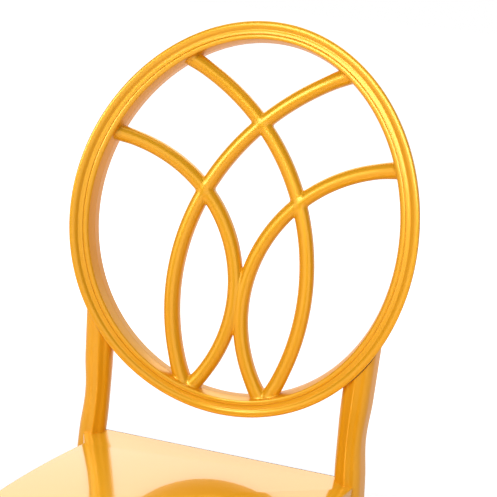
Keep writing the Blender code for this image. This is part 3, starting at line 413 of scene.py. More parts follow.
def ring_outline():
    """The ring's section: u runs out from the middle of its face and v forwards from its front plane."""
    half = RING_FACE / 2
    wall = half + RING_DRAFT
    middle = -RING_DEPTH / 2
    points = [(wall - PARTING_GROOVE, middle), (wall, middle + PARTING_REACH)]
    points += arc(half - RIM_BEAD / 2, -RIM_BEAD_HEIGHT, RIM_BEAD / 2, RIM_BEAD_HEIGHT,
                  0, 180 * RIM_BEAD_SHARE, BEAD_STEPS)
    u, v = points[-1]
    fall = math.atan(-RIM_BEAD_HEIGHT / (RIM_BEAD / 2) / math.tan(math.pi * RIM_BEAD_SHARE))
    cove_u = u - COVE_RADIUS * math.sin(fall)
    cove_v = v + COVE_RADIUS * math.cos(fall)
    start = 270 + COVE_START * math.degrees(fall)
    points += round_off(cove_u, cove_v, COVE_RADIUS, start, 270 - SHELF_TILT, COVE_STEPS)
    u, v = points[-1]
    tilt = math.radians(SHELF_TILT)
    shelf_u = u - SHELF_RADIUS * math.sin(tilt)
    shelf_v = v - SHELF_RADIUS * math.cos(tilt)
    arris = INNER_BEAD - half + QUIRK_WIDTH
    last = math.degrees(math.acos((arris - shelf_u) / SHELF_RADIUS))
    points += round_off(shelf_u, shelf_v, SHELF_RADIUS, 90 - SHELF_START * SHELF_TILT, last, SHELF_STEPS)
    inner_low = -INNER_BEAD_DROP - INNER_BEAD_HEIGHT
    points += [(arris - QUIRK_LIP_WIDTH, points[-1][1] - QUIRK_LIP_DEPTH),
               (arris - QUIRK_WIDTH / 2, inner_low - QUIRK_DEPTH)]
    points += arc(INNER_BEAD / 2 - half, inner_low, INNER_BEAD / 2, INNER_BEAD_HEIGHT, 0, 180, BEAD_STEPS)
    points += [(-wall, middle + PARTING_REACH), (-wall + PARTING_GROOVE, middle),
               (-wall, middle - PARTING_REACH)]
    rear = REAR_ROUND - RING_DEPTH
    points += round_off(REAR_ROUND - half, rear, REAR_ROUND, 180, 270, REAR_ROUND_STEPS)
    points += round_off(half - REAR_ROUND, rear, REAR_ROUND, 270, 360, REAR_ROUND_STEPS)
    points.append((wall, middle - PARTING_REACH))
    return [(u * MM, 0, v * MM) for u, v in points]


def ring_station(turn):
    """The frame of the ring's section at a turn round the oval, in the oval's drawing."""
    small = 0.001
    x, rise = egg(turn, RING_FACE / 2)
    after = egg(turn + small, RING_FACE / 2)
    along = Vector((after[0] - x, after[1] - rise, 0)).normalized()
    out = Vector((along.y, -along.x, 0))
    facing = Matrix((out, along, (0, 0, 1))).transposed().to_4x4()
    return at(x, rise, 0) @ facing


def bent(mesh):
    """Bends the oval's flat drawing and puts it in its place."""
    count = len(mesh.vertices)
    co = np.empty(count * 3)
    mesh.vertices.foreach_get("co", co)
    co = co.reshape(-1, 3)
    co[:, 2] += (co[:, 0] / MM) ** 2 / (2 * OVAL_BEND_RADIUS) * MM
    mesh.vertices.foreach_set("co", co.ravel())
    mesh.transform(oval_place())
    mesh.update()
    return mesh


def grub_frames():
    """Frames on the rear cores' middle lines, z out of the ring's rear face, and how far out it lies."""
    rise = ring_rise_at_post() + GRUB_RISE
    depth = OVAL_LEAD + (POST_BACK - math.sin(RAKE) * (OVAL_RISE + rise)) / math.cos(RAKE)
    rear_face = oval_bend(POST_HALF_SPACING) + RING_DEPTH - depth
    over = Matrix.Rotation(math.pi, 4, "X")
    frames = [oval_place() @ at(side * POST_HALF_SPACING, rise, -depth) @ over for side, _label in SIDES]
    return frames, rear_face


def make_ring(material):
    """The ring, with a well for the lock screw in its rear face over each post."""
    stations = [ring_station(2 * math.pi * i / RING_STEPS) for i in range(RING_STEPS + 1)]
    ring = helper("ring", bent(new_mesh("ring", swept(ring_outline(), stations, True))))
    frames, rear_face = grub_frames()
    bottom = rear_face - GRUB_WELL_DEPTH
    wells = [rod(GRUB_WELL_SIZE, bottom, rear_face + CUT_OVERRUN, place) for place in frames]
    piece("oval_ring", cut(ring, wells), material, ["oval_back"], RING_SHARP_ANGLE)


def wall_distance(x, y):
    """How far a point of the oval's drawing lies inside the ring's inner wall."""
    wide = (OVAL_HALF_WIDTH - RING_FACE) * (1 - OVAL_EGG * y / OVAL_HALF_HEIGHT)
    tall = OVAL_HALF_HEIGHT - RING_FACE
    reach = np.hypot(x / wide, y / tall) + TINY
    slope = np.hypot(x / wide ** 2, y / tall ** 2) / reach
    return (1 - reach) / slope


def merged(a, b, fillet):
    """The smooth union of two distances."""
    blend = np.maximum(fillet - np.abs(a - b), 0) / fillet
    return np.minimum(a, b) - blend * blend * fillet / 4


def lattice_field(points):
    """Negative inside the lattice, zero on its skin, in the oval's drawing in millimetres."""
    x, y, z = points.T
    wall = wall_distance(x, y)
    flare = 1 + BAR_FLARE * eased(np.clip(1 - wall / BAR_FLARE_LENGTH, 0, 1))
    half = BAR_WIDTH / 2 * flare
    straight = (BAR_DEPTH / 2 - BAR_CROWN) * flare
    over = np.maximum(np.abs(z + RING_DEPTH / 2) - straight, 0) / (BAR_CROWN * flare)
    field = None
    for aside, below, radius in ARCS:
        for side in (-1, 1):
            off = np.abs(np.hypot(x - side * aside, y + below) - radius)
            bar = (np.hypot(off / half, over) - 1) * half
            field = bar if field is None else merged(field, bar, CROSSING_FILLET)
    return merged(field, wall + SUNK, WALL_FILLET)


def bar_stations(aside, below, radius, side):
    """Frames along one bar's middle line, from inside the ring on one side to the other."""
    reach = RING_FACE / 2
    turns = []
    for way in (1, -1):
        turn = 0.0
        while wall_distance(radius * math.cos(turn) - aside, radius * math.sin(turn) - below) > -reach:
            turn += way / radius
        turns.append(turn)
    count = int(radius * (turns[0] - turns[1]) / BAR_STEP)
    frames = []
    for i in range(count + 1):
        turn = turns[0] + (turns[1] - turns[0]) * i / count
        free = max(0, min(i, count - i) * BAR_STEP - reach)
        spread = 1 + BAR_FLARE * eased(max(0.0, 1 - free / BAR_FLARE_LENGTH))
        x = (radius * math.cos(turn) - aside) * side
        y = radius * math.sin(turn) - below
        facing = Matrix.Rotation(turn if side > 0 else math.pi - turn, 4, "Z")
        frames.append(at(x, y, -RING_DEPTH / 2) @ facing @ Matrix.Diagonal((spread, 1, spread, 1)))
    return frames


def bar_outline():
    """A bar's section: straight sides with a crown in front and behind."""
    crown = arc(0, BAR_DEPTH / 2 - BAR_CROWN, BAR_WIDTH / 2, BAR_CROWN, 0, 180, BAR_CROWN_STEPS)
    return [(u * MM, 0, v * MM) for u, v in crown] + [(-u * MM, 0, -v * MM) for u, v in crown]


def polished(mesh):
    """Moves the lattice's points onto the smooth skin that its field describes."""
    count = len(mesh.vertices)
    co = np.empty(count * 3)
    mesh.vertices.foreach_get("co", co)
    points = co.reshape(-1, 3) / MM
    free = wall_distance(points[:, 0], points[:, 1]) > -POLISH_DEPTH
    for _ in range(POLISH_PASSES):
        moved = points[free]
        value = lattice_field(moved)
        slope = np.empty_like(moved)
        for axis in range(3):
            nudge = np.zeros(3)
            nudge[axis] = POLISH_NUDGE
            rise = lattice_field(moved + nudge) - lattice_field(moved - nudge)
            slope[:, axis] = rise / (2 * POLISH_NUDGE)
        size = np.maximum((slope ** 2).sum(1), POLISH_LEAST_SLOPE)
        shift = slope * (value / size)[:, None]
        length = np.maximum(np.linalg.norm(shift, axis=1), TINY)
        shift *= np.minimum(1, POLISH_SHIFT / length)[:, None]
        points[free] = moved - shift
    mesh.vertices.foreach_set("co", (points * MM).ravel())
    return mesh


def make_lattice(material):
    """The four arcs, joined as rough bars first and then smoothed where they cross and meet the ring."""
    bars = []
    for aside, below, radius in ARCS:
        for side in (-1, 1):
            frames = bar_stations(aside, below, radius, side)
            bars.append(helper("bar", new_mesh("bar", swept(bar_outline(), frames, False))))
    mesh = cut(bars[0], bars[1:], "UNION")
    rough = helper("rough_lattice", mesh)
    remesh = rough.modifiers.new("skin", "REMESH")
    remesh.mode = "VOXEL"
    remesh.voxel_size = LATTICE_VOXEL * MM
    mesh = bent(polished(applied(rough)))
    piece("oval_lattice", mesh, material, ["oval_back"], LATTICE_SHARP_ANGLE)


def leg_offset(height):
    """How far out and back the leg has spread at a height over the seat, in the post's own directions."""
    if height > 0:
        flare = max(0.0, 1 - height / POST_FLARE_HEIGHT) ** 2
        return POST_FLARE_OUT * flare, POST_FLARE_BACK * flare
    down = -height / SEAT_HEIGHT
    spread = []
    for at_seat, at_floor in ((POST_FLARE_OUT, REAR_FOOT_OUT), (POST_FLARE_BACK, REAR_FOOT_BACK)):
        straight = 2 * at_seat / POST_FLARE_HEIGHT * SEAT_HEIGHT
        spread.append(at_seat + straight * down + (at_floor - at_seat - straight) * down ** 2)
    return tuple(spread)


def post_waist(height):
    """How much of the post's waist is taken at a height over the seat, from 0 to 1."""
    off = min(1.0, abs(height - POST_WAIST_HEIGHT) / POST_WAIST_REACH)
    return (1 - off * off) ** 2


def leg_size(height):
    """The width of the post and the leg at a height over the seat."""
    taper = (REAR_FOOT_SIZE - POST_SIZE) * max(0.0, -height / SEAT_HEIGHT)
    return POST_SIZE + taper - POST_WAIST * post_waist(height)


def leg_station(height, clearance):
    """The frame of the leg's section at a height over the seat, grown by a clearance."""
    out, back = leg_offset(height)
    out -= POST_WAIST_SHIFT * post_waist(height)
    scale = (leg_size(height) + 2 * clearance) / POST_SIZE
    return at(out, back, height) @ Matrix.Diagonal((scale, scale, 1, 1))


def post_ridge(reach, face):
    """Points over the soft ridge on the post's front, which is highest in its middle."""
    soft = POST_RIDGE_SOFTNESS
    points = []
    for i in range(1 - POST_RIDGE_STEPS, POST_RIDGE_STEPS):
        across = i / POST_RIDGE_STEPS
        rise = POST_RIDGE * (1 - (math.hypot(across, soft) - soft) / (math.hypot(1, soft) - soft))
        points.append((across * reach, face - rise))
    return points


def post_outline():
    """A rounded square whose front rises to a soft ridge in its middle."""
    half = POST_SIZE / 2
    inner = half - POST_ROUND
    points = []
    for quarter, (side, front) in enumerate(((1, 1), (-1, 1), (-1, -1), (1, -1))):
        start = 90 * quarter
        points += round_off(side * inner, front * inner, POST_ROUND, start, start + 90, POST_ROUND_STEPS)
        if quarter == 2:
            points += post_ridge(inner, -half)
    return [(u * MM, v * MM, 0) for u, v in points]


def leg_mesh(side, clearance):
    """A rear leg and its post in one, from over the glide to behind the oval."""
    foot = GLIDE_HEIGHT + GAP - SEAT_HEIGHT
    top = height_on_post(ring_rise_at_post()) + POST_OVERRUN
    count = math.ceil((top - foot) / LEG_STEP)
    stations = [leg_station(foot + (top - foot) * i / count, clearance) for i in range(count + 1)]
    bm = swept(post_outline(), stations, False)
    if side < 0:
        bmesh.ops.scale(bm, verts=bm.verts, vec=(-1, 1, 1))
    return new_mesh("leg", bm)


def height_on_post(rise):
    """The height over the seat at which a post is as high as a rise in the oval's drawing."""
    return (OVAL_RISE + rise) / math.cos(RAKE) - math.tan(RAKE) * POST_BACK


def ring_rise_at_post():
    """The rise in the oval's drawing at which the ring's outer edge is as far out as the posts."""
    low, high = -math.pi / 2, 0.0
    for _ in range(HALVINGS):
        middle = (low + high) / 2
        if egg(middle, 0)[0] < POST_HALF_SPACING:
            low = middle
        else:
            high = middle
    return egg(low, 0)[1]


def post_place(side):
    """The post's own frame, on the seat's top and turned in."""
    turn = Matrix.Rotation(-side * POST_TOE_IN, 4, "Z")
    return at(side * POST_HALF_SPACING, BACK_Y + POST_BACK, SEAT_HEIGHT) @ turn


def oval_plug():
    """The space within the ring's outline, which shapes the tops of the posts."""
    grown = RING_DRAFT + PLUG_GAP
    outline = []
    for i in range(RING_STEPS):
        x, rise = egg(2 * math.pi * i / RING_STEPS, -grown)
        outline.append((x * MM, rise * MM, -2 * RING_DEPTH * MM))
    stations = [Matrix.Identity(4), at(0, 0, 3 * RING_DEPTH)]
    bm = swept(outline, stations, False)
    slices = int(OVAL_HALF_WIDTH / PLUG_SLICE)
    for i in range(-slices, slices + 1):
        geometry = bm.verts[:] + bm.edges[:] + bm.faces[:]
        place = (i * PLUG_SLICE * MM, 0, 0)
        bmesh.ops.bisect_plane(bm, geom=geometry, plane_co=place, plane_no=(1, 0, 0))
    return helper("oval_plug", bent(new_mesh("plug", bm)))


def make_rear_legs(material):
    """The rear legs, whose posts end under the ring."""
    for side, label in SIDES:
        leg = helper("leg", leg_mesh(side, 0), post_place(side))
        mesh = cut(leg, [oval_plug()])
        piece("fine_rear_leg_" + label, mesh, material, ["rear_leg_" + label])


def seat_outline(inset, height):
    """The seat's outline from above as a flat face at a height, drawn in by inset."""
    side = SEAT_WAIST_HALF_WIDTH
    swell = SEAT_HALF_WIDTH
    waist_y = -SEAT_WAIST_FRONT
    swell_y = -SEAT_WIDEST_FRONT
    front_y = SEAT_REAR - SEAT_DEPTH
    half = [
        ((side + SEAT_FLARE, SEAT_REAR), (side + SEAT_FLARE, SEAT_REAR), (side + SEAT_FLARE, 0)),
        ((side, waist_y), (side + SEAT_WAIST_SPLAY, waist_y + SEAT_WAIST_PULL),
         (side + SEAT_WAIST_SPLAY, waist_y - SEAT_WAIST_PULL)),
        ((swell, swell_y), (swell, swell_y + SEAT_SIDE_PULL), (swell, swell_y - SEAT_CORNER_PULL)),
        ((0, front_y), (SEAT_FRONT_PULL, front_y), (-SEAT_FRONT_PULL, front_y)),
    ]
    knots = half + [((-x, y), (-c, d), (-a, b)) for (x, y), (a, b), (c, d) in half[-2::-1]]
    curve = bpy.data.curves.new("seat_outline", "CURVE")
    curve.dimensions = "2D"
    curve.fill_mode = "BOTH"
    curve.resolution_u = SEAT_CURVE_STEPS
    curve.offset = -inset * MM
    spline = curve.splines.new("BEZIER")
    spline.bezier_points.add(len(knots) - 1)
    for target, (middle, before, after) in zip(spline.bezier_points, knots):
        target.handle_left_type = "FREE"
        target.handle_right_type = "FREE"
        target.co = (middle[0] * MM, middle[1] * MM, 0)
        target.handle_left = (before[0] * MM, before[1] * MM, 0)
        target.handle_right = (after[0] * MM, after[1] * MM, 0)
    spline.bezier_points[-1].handle_right = spline.bezier_points[-1].co
    spline.bezier_points[0].handle_left = spline.bezier_points[0].co
    spline.use_cyclic_u = True
    return applied(helper("seat_outline", curve, at(0, BACK_Y, height)))


def level_edges(bm):
    """The edges that lie level."""
    return [edge for edge in bm.edges if abs(edge.verts[0].co.z - edge.verts[1].co.z) < LEVEL_SLACK * MM]


def bevelled(bm, edges, width, steps):
    """Rounds the edges off."""
    bmesh.ops.bevel(bm, geom=edges, offset=width * MM, segments=steps, profile=0.5, affect="EDGES",
                    material=-1)


def seat_slab(inset, bottom, top, edge_round=0.0):
    """A closed slab with the seat's outline, its top and bottom edges rounded."""
    bm = bmesh.new()
    bm.from_mesh(seat_outline(inset, bottom))
    bmesh.ops.remove_doubles(bm, verts=bm.verts, dist=SEAT_MERGE_DISTANCE * MM)
    bmesh.ops.dissolve_limit(bm, angle_limit=SEAT_STRAIGHT_ANGLE, verts=bm.verts, edges=bm.edges)
    made = bmesh.ops.extrude_face_region(bm, geom=bm.faces[:])["geom"]
    lifted = [item for item in made if isinstance(item, bmesh.types.BMVert)]
    bmesh.ops.translate(bm, verts=lifted, vec=(0, 0, (top - bottom) * MM))
    bmesh.ops.recalc_face_normals(bm, faces=bm.faces)
    if edge_round:
        rims = level_edges(bm)
        upright = [edge for edge in bm.edges if edge not in rims]
        corners = [edge for edge in upright if edge.calc_face_angle() > SEAT_CORNER_ANGLE]
        bevelled(bm, rims + corners, edge_round, EDGE_STEPS)
    return new_mesh("slab", bm)


def block(low, high):
    """A bmesh of a box from its low to its high corner."""
    bm = bmesh.new()
    bmesh.ops.create_cube(bm, size=MM)
    bmesh.ops.scale(bm, verts=bm.verts, vec=Vector(high) - Vector(low))
    bmesh.ops.translate(bm, verts=bm.verts, vec=(Vector(high) + Vector(low)) / 2 * MM)
    return bm


def box(low, high, place=Matrix.Identity(4)):
    """A box to cut with."""
    return helper("box", new_mesh("box", block(low, high)), place)


def rod(size, bottom, top, place, steps=SMALL_STEPS):
    """A rod to cut with, along the z of its place."""
    bm = bmesh.new()
    bmesh.ops.create_cone(bm, cap_ends=True, segments=steps, radius1=size / 2 * MM, radius2=size / 2 * MM,
                          depth=(top - bottom) * MM)
    bmesh.ops.translate(bm, verts=bm.verts, vec=(0, 0, (top + bottom) / 2 * MM))
    return helper("rod", new_mesh("rod", bm), place)


def front_leg_place(side):
    """The foot of a front leg's middle line."""
    return at(side * FRONT_LEG_PLACE.x, FRONT_LEG_PLACE.y, 0)


def inner_side(side):
    """Turns -x to the chair's middle."""
    return Matrix.Rotation(0 if side > 0 else math.pi, 4, "Z")


def leg_front(height):
    """Where the rear leg's front face is at a height over the seat."""
    return leg_offset(height)[1] - leg_size(height) / 2


def bolt_heights():
    """The heights of a joint's two bolts over the seat."""
    middle = SPIGOT_HEIGHT / 2 - (SEAT_HEIGHT - SKIRT_BOTTOM)
    return middle + BOLT_SPACING / 2, middle - BOLT_SPACING / 2


def rear_joint():
    """Where the front face of the block at a post is, in the post's frame."""
    middle = -(SEAT_TOP_WALL + SEAT_HEIGHT - SKIRT_BOTTOM) / 2
    return leg_front(middle) - GAP - REAR_BLOCK_WALL


def bolt_axes(side):
    """Frames on the faces that the bolts go into, z towards their heads, and the reach to the plates."""
    for height in bolt_heights():
        out = side * (leg_offset(height)[0] - REAR_BOLT_INSET)
        front = leg_front(height)
        turn = Matrix.Rotation(math.pi / 2, 4, "X")
        yield post_place(side) @ at(out, front, height) @ turn, front - rear_joint()
    for height in bolt_heights():
        turn = Matrix.Rotation(-math.pi / 2, 4, "Y")
        place = front_leg_place(side) @ inner_side(side) @ at(-SPIGOT_SIZE / 2, 0, SEAT_HEIGHT + height)
        yield place @ turn, GAP + FRONT_BLOCK_WALL


def make_seat(material):
    """The seat: a flat top, a skirt, ribs, a block at each post and a socket for each front leg."""
    ceiling = SEAT_HEIGHT - SEAT_TOP_WALL
    pocket = helper("pocket", seat_slab(SEAT_SKIRT_WALL, SKIRT_BOTTOM - CUT_OVERRUN, ceiling))
    front = BACK_Y + SEAT_REAR - SEAT_DEPTH
    rear = BACK_Y + SEAT_REAR
    rib_low = ceiling - RIB_HEIGHT
    rib_high = ceiling + CUT_OVERRUN
    kept = []
    for x in (-RIB_SPACING / 2, RIB_SPACING / 2):
        kept.append(box((x - RIB_WALL / 2, front, rib_low), (x + RIB_WALL / 2, rear, rib_high)))
    for number in range(int(SEAT_DEPTH / RIB_SPACING) - 1):
        y = rear - RIB_SPACING * (number + 1)
        reach = SEAT_HALF_WIDTH
        kept.append(box((-reach, y - RIB_WALL / 2, rib_low), (reach, y + RIB_WALL / 2, rib_high)))
    tools = []
    low_end = SKIRT_BOTTOM - 2 * CUT_OVERRUN
    for side, _label in SIDES:
        half = REAR_BLOCK_WIDTH / 2
        corner = (-half, rear_joint(), low_end - SEAT_HEIGHT)
        kept.append(box(corner, (half, 0, CUT_OVERRUN), post_place(side)))
        wall = SPIGOT_SIZE / 2 + GAP + FRONT_BLOCK_WALL
        half = FRONT_BLOCK_WIDTH / 2
        place = front_leg_place(side)
        corner = (0, half, SEAT_HEIGHT + CUT_OVERRUN)
        kept.append(box((-wall, -half, low_end), corner, place @ inner_side(side)))
        bore = SPIGOT_SIZE + 2 * GAP
        kept.append(rod(bore + 2 * SOCKET_WALL, low_end, SEAT_HEIGHT, place, SOCKET_STEPS))
        tools.append(rod(bore, low_end, SKIRT_BOTTOM + SPIGOT_HEIGHT + GAP, place, SOCKET_STEPS))
        tools.append(helper("post_clearance", leg_mesh(side, GAP), post_place(side)))
        for axis, reach in bolt_axes(side):
            tools.append(rod(BOLT_SIZE + 2 * GAP, -CUT_OVERRUN, reach + CUT_OVERRUN, axis, BORE_STEPS))
    hollow = helper("hollow", cut(pocket, kept))
    seat = helper("seat", seat_slab(0, SKIRT_BOTTOM, SEAT_HEIGHT, SEAT_EDGE_ROUND))
    piece("fine_seat_shell", cut(seat, [hollow] + tools), material, ["seat_shell"])


def turned(name, profile, place, steps=TURNED_STEPS):
    """A turned piece from (radius, height) points, from its top down its outside."""
    bm = bmesh.new()
    verts = [bm.verts.new((radius * MM, 0, height * MM)) for radius, height in profile]
    edges = [bm.edges.new(pair) for pair in zip(verts, verts[1:])]
    bmesh.ops.spin(bm, geom=verts + edges, cent=(0, 0, 0), axis=(0, 0, 1), angle=2 * math.pi, steps=steps,
                   use_merge=True)
    mesh = new_mesh(name, bm)
    mesh.transform(place)
    return mesh


def front_leg_profile():
    """The front leg from its spigot down: collar, neck, bead, neck, a shaft that tapers, and foot."""
    collar = SKIRT_BOTTOM - GAP
    collar_low = collar - FRONT_COLLAR_HEIGHT
    bead = collar_low - FRONT_NECK_HEIGHT
    neck = bead - FRONT_BEAD_HEIGHT
    shaft = neck - FRONT_NECK_HEIGHT
    foot = GLIDE_HEIGHT + GAP
    top = SKIRT_BOTTOM + SPIGOT_HEIGHT
    spigot = SPIGOT_SIZE / 2
    ring = FRONT_COLLAR_SIZE / 2
    slim = FRONT_NECK_SIZE / 2
    bulge = FRONT_BEAD_SIZE / 2
    heel = FRONT_FOOT_SIZE / 2
    points = [(0, top), (spigot - SPIGOT_CHAMFER, top), (spigot, top - SPIGOT_CHAMFER), (spigot, collar)]
    points += round_off(ring - COLLAR_ROUND, collar - COLLAR_ROUND, COLLAR_ROUND, 90, 0, ROUND_STEPS)
    points += round_off(ring - COLLAR_ROUND, collar_low + COLLAR_ROUND, COLLAR_ROUND, 0, -90, ROUND_STEPS)
    points += round_off(slim + COLLAR_COVE, collar_low - COLLAR_COVE, COLLAR_COVE, 90, 180, EDGE_STEPS)
    points += round_off(slim + BEAD_COVE, bead + BEAD_COVE, BEAD_COVE, 180, 270, EDGE_STEPS)
    points += arc(slim, bead - FRONT_BEAD_HEIGHT / 2, bulge - slim, FRONT_BEAD_HEIGHT / 2,
                  FRONT_BEAD_TURN, -FRONT_BEAD_TURN, FRONT_BEAD_STEPS)
    points += round_off(slim + BEAD_COVE, neck - BEAD_COVE, BEAD_COVE, 90, 180, EDGE_STEPS)
    points += [(slim, shaft + SHOULDER_HEIGHT), (slim - SHOULDER_STEP, shaft)]
    for i in range(1, SHAFT_STEPS):
        along = i / SHAFT_STEPS
        swell = math.sin(math.pi * along) * FRONT_LEG_SWELL
        points.append((slim - SHOULDER_STEP + (heel - slim + SHOULDER_STEP) * along + swell,
                       shaft + (foot + SHAFT_END - shaft) * along))
    points += round_off(heel - FOOT_ROUND, foot + FOOT_ROUND, FOOT_ROUND, 0, -90, ROUND_STEPS)
    return points + [(0, foot)]


def make_front_legs(material):
    """The two turned legs under the seat's front."""
    for side, label in SIDES:
        mesh = turned("front_leg", front_leg_profile(), front_leg_place(side))
        piece("fine_front_leg_" + label, mesh, material, ["front_leg_" + label])


def make_glides(material):
    """A nylon glide in each foot, its pad turned with a soft edge."""
    pad = GLIDE_SIZE / 2
    stem = GLIDE_STEM_SIZE / 2
    top = GLIDE_HEIGHT + GLIDE_STEM_HEIGHT
    chamfer = GLIDE_STEM_CHAMFER
    soft = GLIDE_EDGE / 2
    profile = [(0, top), (stem - chamfer, top), (stem, top - chamfer), (stem, GLIDE_HEIGHT)]
    profile += round_off(pad - soft, GLIDE_HEIGHT - soft, soft, 90, 0, EDGE_STEPS)
    profile += round_off(pad - GLIDE_EDGE, GLIDE_EDGE, GLIDE_EDGE, 0, -90, GLIDE_EDGE_STEPS) + [(0, 0)]
    out, back = leg_offset(GLIDE_HEIGHT - SEAT_HEIGHT)
    for side, label in SIDES:
        rear = post_place(side) @ at(side * out, back, -SEAT_HEIGHT)
        for end, place in (("front", front_leg_place(side)), ("rear", rear)):
            mesh = turned("glide", profile, place, SMALL_STEPS)
            node = f"foot_glide_{end}_{label}"
            piece("fine_" + node, mesh, material, [node])


def bolt_mesh(length):
    """A bolt with a round head and a six-sided socket, its head's underside at height 0."""
    head = BOLT_HEAD_SIZE / 2
    shank = BOLT_SIZE / 2
    profile = [(0, BOLT_HEAD_HEIGHT)]
    profile += round_off(head - BOLT_EDGE, BOLT_HEAD_HEIGHT - BOLT_EDGE, BOLT_EDGE, 90, 0, ROUND_STEPS)
    profile += [(head, BOLT_EDGE / 2), (head - BOLT_EDGE / 2, 0), (shank, 0), (shank, BOLT_EDGE - length),
                (shank - BOLT_EDGE, -length), (0, -length)]
    across_corners = BOLT_SOCKET_SIZE / math.cos(math.pi / BOLT_SOCKET_SIDES)
    deep = BOLT_HEAD_HEIGHT - BOLT_SOCKET_DEPTH
    high = BOLT_HEAD_HEIGHT + CUT_OVERRUN
    socket = rod(across_corners, deep, high, Matrix.Identity(4), BOLT_SOCKET_SIDES)
    return cut(helper("bolt", turned("bolt", profile, Matrix.Identity(4), SMALL_STEPS)), [socket])


def plate_mesh(wide, tall):
    """A plate with round corners and soft edges, GAP off its joint, from half its width and height."""
    bm = block((-wide, -tall, GAP), (wide, tall, GAP + PLATE_WALL))
    rims = level_edges(bm)
    bevelled(bm, [edge for edge in bm.edges if edge not in rims], PLATE_CORNER, PLATE_CORNER_STEPS)
    bevelled(bm, level_edges(bm), PLATE_EDGE, PLATE_EDGE_STEPS)
    return new_mesh("plate", bm)


def make_joint_hardware(material):
    """The bolts of the four leg joints and the plate under each pair of bolt heads."""
    under_head = PLATE_WALL + 2 * GAP
    narrow = PLATE_WIDTH / 2
    long = BOLT_SPACING / 2 + PLATE_MARGIN
    for side, label in SIDES:
        axes = list(bolt_axes(side))
        for end, pair, recess, (wide, tall) in (("rear", axes[:2], REAR_INSERT_RECESS, (narrow, long)),
                                                ("front", axes[2:], INSERT_RECESS, (long, narrow))):
            (upper, upper_reach), (lower, lower_reach) = pair
            place = upper.copy()
            place.translation = upper.translation.lerp(lower.translation, 0.5)
            place = place @ at(0, 0, (upper_reach + lower_reach) / 2)
            plate = helper("plate", plate_mesh(wide, tall), place)
            holes = [rod(BOLT_SIZE + 2 * GAP, 0, reach + CUT_OVERRUN, axis) for axis, reach in pair]
            node = f"{end}_bolt_plate_{label}"
            piece("fine_" + node, cut(plate, holes), material, [node])
            for level, (axis, reach) in zip(("upper", "lower"), pair):
                mesh = bolt_mesh(under_head + reach + recess + INSERT_LENGTH - BOLT_TIP_SHORT)
                mesh.transform(axis @ at(0, 0, reach + under_head))
                node = f"{end}_leg_bolt_{label}_{level}"
                piece("fine_" + node, mesh, material, [node])


def make_caps(material):
    """The cap over each lock screw, set back in its well."""
    frames, rear_face = grub_frames()
    top = rear_face - CAP_RECESS
    size = GRUB_WELL_SIZE / 2 - GAP
    profile = [(0, top)] + round_off(size - CAP_EDGE, top - CAP_EDGE, CAP_EDGE, 90, 0, EDGE_STEPS)
    profile += [(size, top - CAP_HEIGHT), (0, top - CAP_HEIGHT)]
    for place, (_side, label) in zip(frames, SIDES):
        mesh = turned("cap", profile, place, SMALL_STEPS)
        piece("fine_screw_cap_" + label, mesh, material, ["screw_cap_" + label])


def add_node(tree, kind, place, inputs=None, **settings):
    """A node with these settings. Each input is linked to an output, or set to a value."""
    node = tree.nodes.new(kind)
    node.location = place
    for name, value in settings.items():
        setattr(node, name, value)
    for name, source in (inputs or {}).items():
        if isinstance(source, bpy.types.NodeSocket):
            tree.links.new(source, node.inputs[name])
        else:
            node.inputs[name].default_value = source
    return node


def moulded_skin_group():
    """Moulded paint: slow waves and fine peel in its surface, and a slight drift of tone and gloss."""
    group = bpy.data.node_groups.new("moulded_skin", "ShaderNodeTree")
    for direction, kind, names in (("INPUT", "NodeSocketColor", ("Tone", "Deep Tone")),
                                   ("INPUT", "NodeSocketFloat", ("Gloss", "Peel", "Wave")),
                                   ("OUTPUT", "NodeSocketColor", ("Colour",)),
                                   ("OUTPUT", "NodeSocketFloat", ("Roughness", "Height"))):
        for name in names:
            group.interface.new_socket(name=name, in_out=direction, socket_type=kind)
    given = add_node(group, "NodeGroupInput", (-900, 0)).outputs
    spot = add_node(group, "ShaderNodeTexCoord", (-900, -300)).outputs["Object"]
    noises = {}
    for row, (name, scale, detail) in enumerate(SKIN_NOISES):
        noise = add_node(group, "ShaderNodeTexNoise", (-600, 200 - 350 * row),
                         {"Vector": spot, "Scale": scale, "Detail": detail})
        noises[name] = noise.outputs["Fac"]
    tone = add_node(group, "ShaderNodeMix", (-200, 300),
                    {"Factor": noises["drift"], "A": given["Tone"], "B": given["Deep Tone"]},
                    data_type="RGBA")
    gloss = add_node(group, "ShaderNodeMath", (-200, 60),
                     {0: noises["drift"], 1: GLOSS_DRIFT, 2: given["Gloss"]}, operation="MULTIPLY_ADD")
    peel = add_node(group, "ShaderNodeMath", (-200, -200), {0: noises["peel"], 1: given["Peel"]},
                    operation="MULTIPLY")
    wave = add_node(group, "ShaderNodeMath", (0, -300),
                    {0: noises["wave"], 1: given["Wave"], 2: peel.outputs["Value"]},
                    operation="MULTIPLY_ADD")
    add_node(group, "NodeGroupOutput", (600, 0),
             {"Colour": tone.outputs["Result"], "Roughness": gloss.outputs["Value"],
              "Height": wave.outputs["Value"]})
    return group


